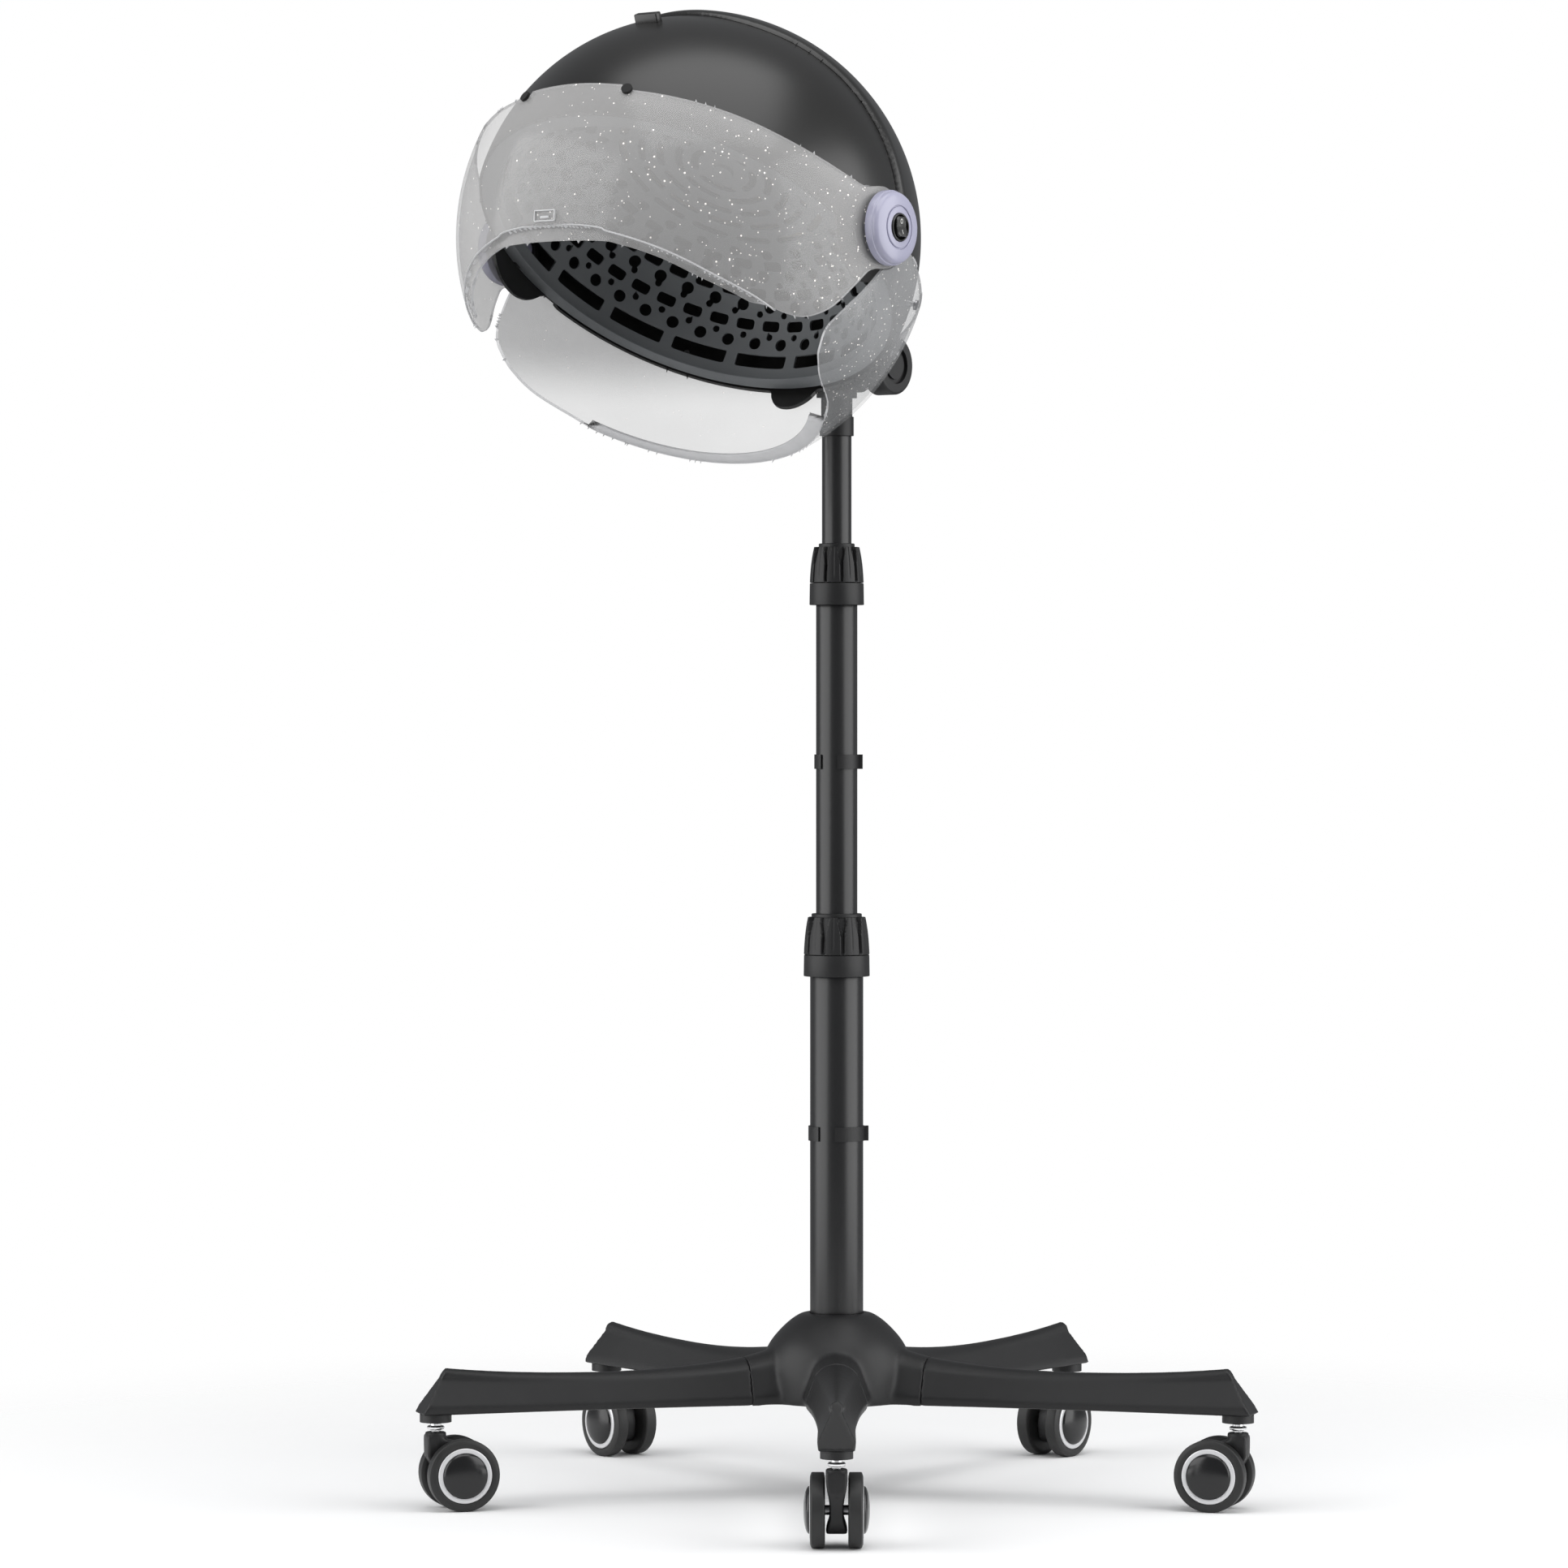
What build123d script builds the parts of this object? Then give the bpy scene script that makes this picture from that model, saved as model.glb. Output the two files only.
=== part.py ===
"""Rolling-stand hood hair dryer, modelled in millimetres.

Origin on the floor, on the column's axis. +Z is up, -Y is the front of the hood,
and +X is the side that carries the ionic switch. Each piece is written as its own STEP file.
"""
from build123d import *
import os
from math import sqrt

# ---- base and casters ----
LEG_COUNT = 5
FIRST_LEG_ANGLE = 90.0           # one leg points straight back
LEG_SEAM_RADIUS = 82.0
LEG_BOTTOM = 80.0
# radius, width at the bottom, height of the crest, shoulder width as a share of the bottom
LEG_STATIONS = [
    (82, 52, 119, 0.33), (113, 46, 115, 0.32), (150, 39.5, 112, 0.30), (197, 34.5, 110.5, 0.28),
    (252, 31, 111.5, 0.25), (305, 31, 114.5, 0.20), (337, 31, 117.5, 0.15), (366, 31, 120, 0.12),
]
LEG_TIP_TOP, LEG_TIP_END = (341.0, 119.0), (365.5, 79.0)   # sloping end face, radius and height
STUB_START = (30, 62, 132, 0.33)       # the hub's stub, in the terms of a leg station
LEG_BOLT_RADIUS = 70.0           # from the column to each leg bolt
HUB_PROFILE = [(29, 154), (36, 150), (48.4, 139), (58.7, 125), (63, 112), (64, LEG_BOTTOM)]
STEM_RADIUS = 350.0              # pitch circle of the caster stems
CASTER_TRAIL = 20.0
WHEEL_RADIUS = 30.0
WHEEL_WIDTH = 12.2
WHEEL_GAP = 18.0
AXLE_RADIUS = 4.0
FORK_TOP = 65.5
FORK_NECK_RADIUS = 8.8
FORK_WIDTH = WHEEL_GAP - 1.0
STEM_PIN_RADIUS = 4.0
SOCKET_RADIUS = 13.25
RUNNING = 0.05                   # radial clearance of a running fit

# ---- telescopic column ----
LOWER_TUBE_R, LOWER_BORE_R = 22.5, 20.5
MIDDLE_TUBE_R, MIDDLE_BORE_R = 17.5, 15.5
UPPER_TUBE_R, UPPER_BORE_R = 12.5, 10.5
LOWER_TUBE_Z = (92.0, 441.0)
MIDDLE_TUBE_Z = (240.0, 755.0)
UPPER_TUBE_Z = (500.0, 912.0)
LOWER_COLLAR = dict(radius=28.0, bottom=439.0, top=457.0)
UPPER_COLLAR = dict(radius=23.1, bottom=753.0, top=771.5)
LOWER_NUT = dict(bottom_r=28.0, top_r=24.6, lip_r=21.5, top=492.0, petals=10)
UPPER_NUT = dict(bottom_r=23.0, top_r=19.4, lip_r=15.3, top=805.0, petals=10)
LOWER_CLIP_Z, MIDDLE_CLIP_Z = 306.0, 620.5
CLIP_HEIGHT = 12.2
CLIP_WALL = 1.5
SLEEVE_WALL = 3.4                # threaded sleeve of a collar, outside the sliding tube
GLIDE_LENGTH = 24.0

# ---- tilt joint ----
TILT_Z = 954.0
TONGUE_HALF, TONGUE_R = 12.0, 20.0
CHEEK_IN, CHEEK_OUT, CHEEK_R = 12.4, 24.0, 22.0
BOLT_R = 5.0
KNOB_X = (43.0, 62.0)
KNOB_R = 25.0

# ---- hood ----
HOOD_CENTRE = (0.0, -200.0, 1050.0)
DOME_R, DOME_WALL = 182.0, 2.5
REAR_R = 186.5
RIM_TILT, RIM_DROP = 35.0, 17.0
EAR_R = 43.0
VISOR_OUT, VISOR_IN = 194.0, 191.6
SKIRT_TILT, SKIRT_BOTTOM, SKIRT_TOP = 30.6, 122.0, -6.0
HUB_R, HUB_FACE = 30.2, 208.0
HUB_STEM_R = 12.0
EYE_R, EYE_GAP = 32.5, 0.8
BASKET_RIM_R, BASKET_CROWN, BASKET_WALL = 168.0, 70.0, 2.5
FAN_R, FAN_BOTTOM, FAN_TOP = 66.0, 84.0, 110.0
HEATER_R = 88.0
MOTOR_R, MOTOR_TOP, SHAFT_R = 30.0, 156.0, 3.0
ROCKER_HALF_Y, ROCKER_HALF_Z, ROCKER_R = 6.6, 8.2, 9.2
ROCKER_PIVOT_X, ROCKER_LEAN = 205.6, 7.0
BEZEL_R, WELL_R = 11.4, 9.9
ROCKER_PIN_R = 1.2
KNOB_AZIMUTH, KNOB_ELEVATION = 24.0, 22.0
GRILLE_R, GRILLE_LEAN = 42.0, 62.0
SCREW_AZIMUTHS = (-62, -34, 34, 62)
SCREW_R = 2.15
STUD_R, STUD_ALPHA, STUD_SPREAD = 2.6, 34.8, 15.4

# Outlines in side view, as (y, z) about the hood's centre.
FAR = 230.0                      # beyond every hood piece
SEAM = [(-30, 200), (-17, 178.5), (16, 150), (38, 110), (44, 40), (30, -80)]
VISOR_TOP = [(-200, 130), (-164, 115), (-131, 94.5), (-88, 67), (-38, 39), (-20, 33)]
VISOR_BOTTOM = [(20, -14), (-3, -23), (-31.5, -48), (-50, -66), (-70, -73), (-100, -65.5), (-123, -59),
                (-147, -44), (-166.5, -29.5), (-184, -17), (-215, -10)]
SKIRT_FRONT = [(40, 20), (8, -20), (-8, -36), (-34, -62), (-46, -82), (-45, -97), (-26, -121), (7, -142),
               (30, -165)]


def cylinder_between(radius, low, high, axis="Z"):
    """Solid cylinder along a main axis through the origin, from low to high."""
    turn = {"X": Rot(0, 90, 0), "Y": Rot(-90, 0, 0), "Z": Rot(0, 0, 0)}[axis]
    return turn * Pos(0, 0, (low + high) / 2) * Cylinder(radius, high - low)


def tube(outer, inner, low, high):
    """Straight tube on the column's axis."""
    return cylinder_between(outer, low, high) - cylinder_between(inner, low - 1, high + 1)


def revolved(points, angle=360):
    """Turned piece from a closed radius-height outline."""
    return revolve(Plane.XZ * make_face(Polyline(*points, close=True)), Axis.Z, angle)


def hood_place(tilt=0.0, along=0.0):
    """Location whose Z axis is the hood's own axis, leaned back by tilt degrees."""
    return Pos(*HOOD_CENTRE) * Rot(-tilt, 0, 0) * Pos(0, 0, along)


def at_hood(shape):
    """Move a shape drawn about the origin to the hood's centre."""
    return Pos(*HOOD_CENTRE) * shape


def leg_angles():
    return [FIRST_LEG_ANGLE + n * 360 / LEG_COUNT for n in range(LEG_COUNT)]


def around(shape):
    """One copy of a shape for each leg."""
    return [Rot(0, 0, angle) * shape for angle in leg_angles()]


def export(name, *shapes):
    """Write one node; several separate solids stay separate in one file."""
    solids = [solid for shape in shapes for solid in shape.solids()]
    whole = solids[0] if len(solids) == 1 else Compound(children=solids)
    export_step(whole, f"parts/{name}.step")


# ---- base ----

def leg_section(radius, width, crest, crown_share):
    """Cross-section of a leg: flat bottom, sides leaning inwards, crowned top."""
    half, shoulder = width / 2, width * crown_share
    height = crest - LEG_BOTTOM
    low, mid = LEG_BOTTOM + 0.18 * height, LEG_BOTTOM + 0.78 * height
    outline = Polyline((shoulder, mid), (half, low), (half * 0.94, LEG_BOTTOM),
                       (-half * 0.94, LEG_BOTTOM), (-half, low), (-shoulder, mid))
    crown = ThreePointArc((-shoulder, mid), (0, crest), (shoulder, mid))
    plane = Plane(origin=(radius, 0, 0), x_dir=(0, 1, 0), z_dir=(1, 0, 0))
    return plane * make_face(outline + crown)


def make_leg():
    """Lofted leg whose outer end is cut to a sloping prow."""
    leg = loft([leg_section(*station) for station in LEG_STATIONS])
    (top_r, top_z), (end_r, end_z) = LEG_TIP_TOP, LEG_TIP_END
    beyond = [(top_r, top_z), (end_r, end_z), (400, end_z), (400, 140), (top_r - 8, 140)]
    return leg - extrude(Plane.XZ.offset(-40) * make_face(Polyline(*beyond, close=True)), 80)


def make_hub():
    """Domed hub with a stub for each leg and a socket for the lower tube."""
    dome = Spline(*[Vector(r, 0, z) for r, z in HUB_PROFILE])
    outline = dome + Polyline((64, 0, LEG_BOTTOM), (0, 0, LEG_BOTTOM), (0, 0, 154), (29, 0, 154))
    hub = revolve(make_face(outline), Axis.Z)
    stub = loft([leg_section(*STUB_START), leg_section(*LEG_STATIONS[0])])
    for piece in around(stub):
        hub += piece
    return hub - cylinder_between(LOWER_TUBE_R, LOWER_TUBE_Z[0], 200)


def make_leg_bolt():
    """Bolt that clamps a leg to the hub, with its head under the hub."""
    return Pos(LEG_BOLT_RADIUS, 0, LEG_BOTTOM - 0.8) * Cylinder(6, 1.6)


def make_socket():
    """Bushing under a leg's tip that the caster stem is pressed into."""
    return Pos(STEM_RADIUS, 0, 0) * (cylinder_between(SOCKET_RADIUS, 73.5, 80)
                                     - cylinder_between(5.5, 70, 90))


def make_stem():
    """Chromed grip-ring stem: pin in the fork, flange, shank in the leg."""
    pieces = [(STEM_PIN_RADIUS, 46, 67), (7.3, 66.5, 70.5), (5.5, 70.4, 79.9)]
    stem = cylinder_between(*pieces[0])
    for radius, low, high in pieces[1:]:
        stem += cylinder_between(radius, low, high)
    return Pos(STEM_RADIUS, 0, 0) * stem


# ---- casters, drawn with the stem on the Z axis and the wheels trailing towards -X ----

def make_fork():
    """Fork between the wheels: a round cheek on the axle, an arm and the stem's neck."""
    body_plane = Plane.XZ.offset(-FORK_WIDTH / 2)
    cheek = Pos(-CASTER_TRAIL, WHEEL_RADIUS) * Circle(19.0)
    arm = make_face(Polyline((-34, 44), (-22, 56), (8.6, 63), (8.6, 46), (-4, 22), close=True))
    fork = extrude(body_plane * cheek, FORK_WIDTH) + extrude(body_plane * arm, FORK_WIDTH)
    fork += cylinder_between(FORK_NECK_RADIUS, 44, FORK_TOP)
    fork -= cylinder_between(STEM_PIN_RADIUS + RUNNING, 45.5, FORK_TOP + 1)
    return fork - Pos(-CASTER_TRAIL, 0, WHEEL_RADIUS) * cylinder_between(AXLE_RADIUS, -30, 30, "Y")


def make_axle():
    """Pin pressed in the fork that both wheels run on."""
    half = WHEEL_GAP / 2 + WHEEL_WIDTH - 1.5
    return Pos(-CASTER_TRAIL, 0, WHEEL_RADIUS) * cylinder_between(AXLE_RADIUS, -half, half, "Y")


def make_wheel(side):
    """Wheel with a rounded tread and a bulged cap; side is +1 or -1 along Y."""
    inner, outer = WHEEL_GAP / 2, WHEEL_GAP / 2 + WHEEL_WIDTH
    points = [(AXLE_RADIUS + RUNNING, inner), (28, inner), (WHEEL_RADIUS, inner + 2.5),
              (WHEEL_RADIUS, outer - 3.0), (27.5, outer), (19, outer), (15, outer + 3),
              (8, outer + 5), (0, outer + 5.5), (0, outer - 1.2), (AXLE_RADIUS + RUNNING, outer - 1.2)]
    wheel = Rot(-90 * side, 0, 0) * revolved(points)
    return Pos(-CASTER_TRAIL, 0, WHEEL_RADIUS) * wheel


# ---- column ----

def make_collar(spec, tube_r, slide_r):
    """Fixed ring at a tube's top, with the threaded sleeve that the nut turns on."""
    ring = tube(spec["radius"], tube_r, spec["bottom"], spec["top"] - 4)
    ring += tube(spec["radius"], slide_r + RUNNING, spec["top"] - 16, spec["top"])
    sleeve_r = slide_r + SLEEVE_WALL
    return ring + tube(sleeve_r, slide_r + RUNNING, spec["top"] - 1, spec["top"] + 22)


def make_nut(spec, collar, slide_r):
    """Hand nut with long petals that grips the sliding tube."""
    low, top = collar["top"] + 0.4, spec["top"]
    sleeve_r = slide_r + SLEEVE_WALL
    lip = top - 2.6
    body = revolved([(0, low), (spec["bottom_r"], low), (spec["bottom_r"], low + 3),
                     (spec["top_r"], lip), (spec["lip_r"], lip), (spec["lip_r"], top), (0, top)])
    flute = Pos(spec["bottom_r"] + 1.2, 0, low + 21) * Rot(0, -6, 0) * Cylinder(2.6, 30)
    for n in range(spec["petals"]):
        body -= Rot(0, 0, n * 360 / spec["petals"]) * flute
    body -= cylinder_between(slide_r + 0.5, low - 1, top + 1)
    return body - cylinder_between(sleeve_r + RUNNING, low - 1, collar["top"] + 23)


def make_clip(tube_r, height):
    """Sprung C-ring on a tube with the hook that holds the mains lead."""
    ring = tube(tube_r + CLIP_WALL, tube_r, height - CLIP_HEIGHT / 2, height + CLIP_HEIGHT / 2)
    ring -= Rot(0, 0, -76) * Pos(tube_r, 0, height) * Box(20, 15, 20)
    hook = Rot(0, 0, 36) * Pos(tube_r + 2.7, 0, height) * Box(3.6, 9, CLIP_HEIGHT)
    hook -= Rot(0, 0, 36) * Pos(tube_r + 3.2, 0, height) * Box(2.0, 6, CLIP_HEIGHT + 2)
    return ring + hook


def make_glide(outer, inner, low):
    """Plastic bearing on the foot of a sliding tube."""
    return tube(outer, inner, low, low + GLIDE_LENGTH)


# ---- tilt joint ----

def at_tilt(shape):
    return Pos(0, 0, TILT_Z) * shape


def make_tilt_head():
    """Neck that plugs on the upper tube, ending in the round tongue of the tilt joint."""
    neck = cylinder_between(14.4, 896, 912) + cylinder_between(13.2, 911, 931)
    neck -= cylinder_between(UPPER_TUBE_R + RUNNING, 890, UPPER_TUBE_Z[1] + 0.3)
    tongue = at_tilt(cylinder_between(TONGUE_R, -TONGUE_HALF, TONGUE_HALF, "X"))
    neck += Pos(0, 0, 938) * Box(2 * TONGUE_HALF, 25, 20)
    neck += tongue
    return neck - at_tilt(cylinder_between(BOLT_R + RUNNING, -30, 30, "X"))


def make_tilt_bolt():
    """Carriage bolt: its head is in the left cheek, its thread is in the knob."""
    shank = cylinder_between(BOLT_R, -CHEEK_OUT - 1, 40, "X")
    return at_tilt(shank + cylinder_between(10, -CHEEK_OUT - 4.5, -CHEEK_OUT - 0.4, "X"))


def make_tilt_knob():
    """Round clamping knob with a dished face and a boss that bears on the cheek."""
    knob = cylinder_between(KNOB_R, *KNOB_X, "X") + cylinder_between(11, CHEEK_OUT + 0.3, KNOB_X[0] + 1, "X")
    knob = fillet(knob.edges().filter_by(GeomType.CIRCLE).group_by(Axis.X)[-1], 3.0)
    knob -= cylinder_between(16, KNOB_X[1] - 3, KNOB_X[1] + 1, "X")
    knob += cylinder_between(12, KNOB_X[1] - 4, KNOB_X[1] - 1, "X")
    return at_tilt(knob - cylinder_between(BOLT_R + RUNNING, 0, 40.5, "X"))


# ---- hood shells ----

def ball(radius):
    """Sphere whose poles lie on the hub axis and whose seam faces the open underside."""
    return Rot(0, 90, 0) * Sphere(radius)


def shell(outer, inner):
    return ball(outer) - ball(inner)


def above_rim(tilt, drop, size=500):
    """Half space above a plane that leans back by tilt and lies drop below the centre."""
    return Rot(-tilt, 0, 0) * Pos(0, 0, size / 2 - drop) * Box(size, size, size)


def across_hood(outline):
    """Prism through the whole hood along X, from an outline in side view."""
    return extrude(Plane.YZ.offset(-FAR) * make_face(outline), 2 * FAR)


def seam_region(back):
    """Everything on one side of the seam over the dome."""
    far = FAR if back else -FAR
    (low_y, low_z), (top_y, top_z) = SEAM[-1], SEAM[0]
    outside = Polyline((low_y, low_z), (low_y, -FAR), (far, -FAR), (far, FAR), (top_y, FAR), (top_y, top_z))
    return across_hood(Spline(*SEAM) + outside)


def ears():
    """Rounds about the hub axis where the dome reaches down to carry the pivots."""
    ear = cylinder_between(EAR_R, 140, 200, "X")
    return ear + Rot(0, 0, 180) * ear


def make_front_shell():
    """Front half of the dome with both pivot ears and the catch for the raised visor."""
    space = above_rim(RIM_TILT, RIM_DROP) + ears()
    front = shell(DOME_R, DOME_R - DOME_WALL) & space & seam_region(False)
    catch = Rot(-71, 0, 0) * Pos(0, -(DOME_R + 3), 0) * Box(23, 9.5, 7)
    front += catch - ball(DOME_R - 1)
    for turn in (0, 180):
        boss = cylinder_between(HUB_STEM_R + 6, DOME_R - 12, 190.2, "X") - ball(DOME_R - 1)
        front += Rot(0, 0, turn) * boss
        front -= Rot(0, 0, turn) * cylinder_between(HUB_STEM_R - 1, 150, 230, "X")
    return at_hood(front)


def knob_turn(side):
    """Rotation that carries +Y to the axis of a rear control knob."""
    return Rot(0, 0, -side * KNOB_AZIMUTH) * Rot(KNOB_ELEVATION, 0, 0)


def make_rear_shell():
    """Rear half of the dome: proud moulding with two knob bosses and the lower lobe."""
    cover = shell(REAR_R, DOME_R) & above_rim(RIM_TILT, RIM_DROP) & seam_region(True)
    for side in (-1, 1):
        boss = knob_turn(side) * (cylinder_between(27, REAR_R - 12, REAR_R + 4, "Y") - ball(DOME_R))
        hole = knob_turn(side) * cylinder_between(4.2, 150, 220, "Y")
        cover = cover + boss - hole
    grille = Rot(GRILLE_LEAN, 0, 0) * cylinder_between(GRILLE_R, 150, 220, "Y")
    gland = gland_place() * cylinder_between(7.0, 150, 220, "Y")
    lobe = Rot(-RIM_TILT, 0, 0) * Pos(0, 0, 5 - RIM_DROP) * cylinder_between(24, 150, 210, "Y")
    cover += shell(DOME_R + 3, DOME_R) & lobe
    for azimuth in SCREW_AZIMUTHS:
        cover -= screw_turn(azimuth) * cylinder_between(SCREW_R + RUNNING, 150, 210, "Y")
    return at_hood(cover - grille - gland)


def gland_place():
    """Rotation that carries +Y to the axis of the lead inlet."""
    return Rot(0, 0, 34) * Rot(-14, 0, 0)


def make_grille():
    """Slotted round intake cover, flush in the rear shell over the fan."""
    disc = shell(REAR_R, DOME_R + 1) & cylinder_between(GRILLE_R - 0.2, 150, 220, "Y")
    for n in range(-4, 5):
        disc -= Pos(n * 8.4, 190, 0) * Box(4.2, 40, 2 * sqrt(34.0 ** 2 - (n * 8.0) ** 2))
    return at_hood(Rot(GRILLE_LEAN, 0, 0) * disc)


def make_gland():
    """Bushed inlet that the mains lead enters by; it is an open ring."""
    ring = cylinder_between(6.9, 176, 187, "Y") + cylinder_between(9.5, 187, 193, "Y")
    return at_hood(gland_place() * (ring - cylinder_between(3.6, 170, 200, "Y")))


def make_basket():
    """Perforated inner liner, drawn plain: rim flange, wall, rounded shoulder and crown."""
    rim, wall, crown, low = BASKET_RIM_R, BASKET_WALL, BASKET_CROWN, -RIM_DROP
    outside = Line((rim, low), (rim - 4, low + 22)) + ThreePointArc((rim - 4, low + 22), (138, 46), (92, crown))
    inside = Line((rim - wall, low), (rim - 4 - wall, low + 22))
    inside += ThreePointArc((rim - 4 - wall, low + 22), (136.2, 44.2), (92, crown - wall))
    cap = Line((92, crown), (0, crown + 4)) + Line((0, crown + 4), (0, crown + 4 - wall))
    cap += Line((0, crown + 4 - wall), (92, crown - wall))
    bowl = revolve(Plane.XZ * make_face(outside + inside + cap + Line((rim - wall, low), (rim, low))), Axis.Z)
    flange = tube(DOME_R - 3.4, rim - wall, low - 0.5, low + 2.0)
    return hood_place(RIM_TILT) * (bowl + flange)


def make_front_visor():
    """Smoked visor that wraps the front, with an eye round each hub and a latch window."""
    band = Spline(*VISOR_TOP) + Line(VISOR_TOP[-1], VISOR_BOTTOM[0]) + Spline(*VISOR_BOTTOM)
    band += Line(VISOR_BOTTOM[-1], VISOR_TOP[0])
    eye = cylinder_between(EYE_R, 150, 210, "X")
    visor = shell(VISOR_OUT, VISOR_IN) & (across_hood(band) + eye + Rot(0, 0, 180) * eye)
    visor -= cylinder_between(HUB_STEM_R + RUNNING, -220, 220, "X")
    visor -= Rot(-2, 0, 0) * Pos(0, -VISOR_OUT, 0) * Box(20, 12, 9)
    for side in (-1, 1):
        visor -= stud_turn(side) * cylinder_between(STUD_R, -210, -150, "Y")
    return at_hood(visor)


def make_rear_visor():
    """Fixed clear skirt that wraps the sides and back and turns in at its bottom edge."""
    band = above_rim(SKIRT_TILT, SKIRT_BOTTOM) - above_rim(SKIRT_TILT, SKIRT_TOP)
    (low_y, low_z), start = SKIRT_FRONT[-1], SKIRT_FRONT[0]
    outside = Polyline((low_y, low_z), (low_y, -FAR), (FAR, -FAR), (FAR, 120), start)
    region = across_hood(Spline(*SKIRT_FRONT) + outside)
    skirt = shell(VISOR_OUT, VISOR_IN) & band & region
    ring_r = sqrt(VISOR_OUT ** 2 - SKIRT_BOTTOM ** 2)
    lip = Rot(-SKIRT_TILT, 0, 0) * tube(ring_r - 1, ring_r - 15, -SKIRT_BOTTOM, -SKIRT_BOTTOM + 2.2)
    skirt += lip & region & ball(VISOR_OUT)
    skirt -= cylinder_between(EYE_R + EYE_GAP, -220, 220, "X")
    skirt -= arm_window()
    for azimuth in SCREW_AZIMUTHS:
        skirt += screw_turn(azimuth) * cylinder_between(5, REAR_R + 0.1, VISOR_IN + 1, "Y")
        skirt -= screw_turn(azimuth) * cylinder_between(SCREW_R + RUNNING, 150, 210, "Y")
    return at_hood(skirt)


def screw_turn(azimuth):
    """Rotation that carries +Y to the axis of a skirt screw, in the leaned frame."""
    return Rot(-SKIRT_TILT, 0, 0) * Rot(0, 0, azimuth) * Rot(-3.5, 0, 0)


def arm_window():
    """Notch in the skirt's upper edge that the tilt arm passes through."""
    return Rot(-24, 0, 0) * Pos(0, 180, 4) * Box(60, 60, 94)


def make_hood_screws():
    """Pan-head screws through the skirt's bosses into the rear shell."""
    screw = cylinder_between(SCREW_R, 176, VISOR_OUT + 0.2, "Y")
    screw += cylinder_between(4.2, VISOR_OUT + 0.05, 196, "Y")
    return [at_hood(screw_turn(azimuth) * screw) for azimuth in SCREW_AZIMUTHS]


def make_bracket():
    """Saddle on the rear shell with the two cheeks of the tilt joint."""
    saddle = Rot(-25.6, 0, 0) * Pos(0, 187, 0) * Box(56, 24, 46)
    saddle = saddle & shell(196, REAR_R + 0.05)
    saddle = at_hood(saddle)
    for side in (-1, 1):
        mid = side * (CHEEK_IN + CHEEK_OUT) / 2
        cheek = at_tilt(Pos(mid, 0, 0) * cylinder_between(CHEEK_R, -5.8, 5.8, "X"))
        arm = at_hood(Pos(mid, 0, 0) * Rot(-25.6, 0, 0) * Pos(0, 205, 0) * Box(11.6, 34, 36))
        saddle += cheek
        saddle += arm - at_hood(ball(REAR_R + 0.05))
    return saddle - at_tilt(cylinder_between(BOLT_R + RUNNING, -30, 30, "X"))


# ---- hubs and switch ----

def make_hub_cap(bored):
    """Stepped pivot cover with a stem in the dome's ear and a ring groove in its face."""
    points = [(0, 194.5), (HUB_R, 194.5), (HUB_R, 200.5), (29.2, 201), (28.6, 204), (24, 206.3), (17.6, 207.4),
              (17.6, 206.6), (16.4, 206.6), (16.4, 207.5), (0, HUB_FACE)]
    cap = Rot(0, 90, 0) * (revolved(points) + cylinder_between(HUB_STEM_R, 191.2, 195)
                           + cylinder_between(HUB_STEM_R - 1.1, 176, 192))
    return cap - cylinder_between(BEZEL_R + RUNNING, 198.5, 215, "X") if bored else cap


def make_switch_body():
    """Round bezel of the ionic switch with a well and two pin bores for its rocker."""
    bezel = cylinder_between(BEZEL_R, 198.6, 209.0, "X") - cylinder_between(WELL_R, 203.2, 210, "X")
    return bezel - Pos(ROCKER_PIVOT_X, 0, 0) * cylinder_between(ROCKER_PIN_R + RUNNING, -10.8, 10.8, "Y")


def make_rocker():
    """Round-ended rocker with a shallow V face, on two short pins along Y."""
    points = [(204.2, -3), (206.2, -ROCKER_HALF_Z), (210.6, -ROCKER_HALF_Z), (209.2, 0),
              (210.6, ROCKER_HALF_Z), (206.2, ROCKER_HALF_Z), (204.2, 3)]
    face = Plane.XZ.offset(-ROCKER_HALF_Y) * make_face(Polyline(*points, close=True))
    rocker = extrude(face, 2 * ROCKER_HALF_Y) & cylinder_between(ROCKER_R, 200, 215, "X")
    rocker += Pos(ROCKER_PIVOT_X, 0, 0) * cylinder_between(ROCKER_PIN_R, -10.5, 10.5, "Y")
    return Pos(ROCKER_PIVOT_X, 0, 0) * Rot(0, -ROCKER_LEAN, 0) * Pos(-ROCKER_PIVOT_X, 0, 0) * rocker


# ---- inside the hood ----

def make_motor():
    """Fan motor with its shaft and three mounting arms."""
    motor = cylinder_between(MOTOR_R, FAN_TOP + 8, MOTOR_TOP)
    motor += cylinder_between(SHAFT_R, FAN_BOTTOM + 2, MOTOR_TOP)
    for turn in (0, 120, 240):
        motor += Rot(0, 0, turn) * Pos(50, 0, FAN_TOP + 12) * Box(52, 12, 4)
    return hood_place(RIM_TILT) * motor


def make_impeller():
    """Centrifugal wheel: back plate, hub and forward-curved blades."""
    wheel = cylinder_between(FAN_R, FAN_TOP - 2, FAN_TOP) + cylinder_between(9, FAN_BOTTOM + 2, FAN_TOP)
    blade = Pos(FAN_R - 8, 0, (FAN_BOTTOM + FAN_TOP) / 2) * Rot(0, 0, 28) * Box(15, 1.6, FAN_TOP - FAN_BOTTOM)
    for n in range(20):
        wheel += Rot(0, 0, n * 18) * blade
    return hood_place(RIM_TILT) * (wheel - cylinder_between(SHAFT_R + RUNNING, 80, 120))


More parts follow.
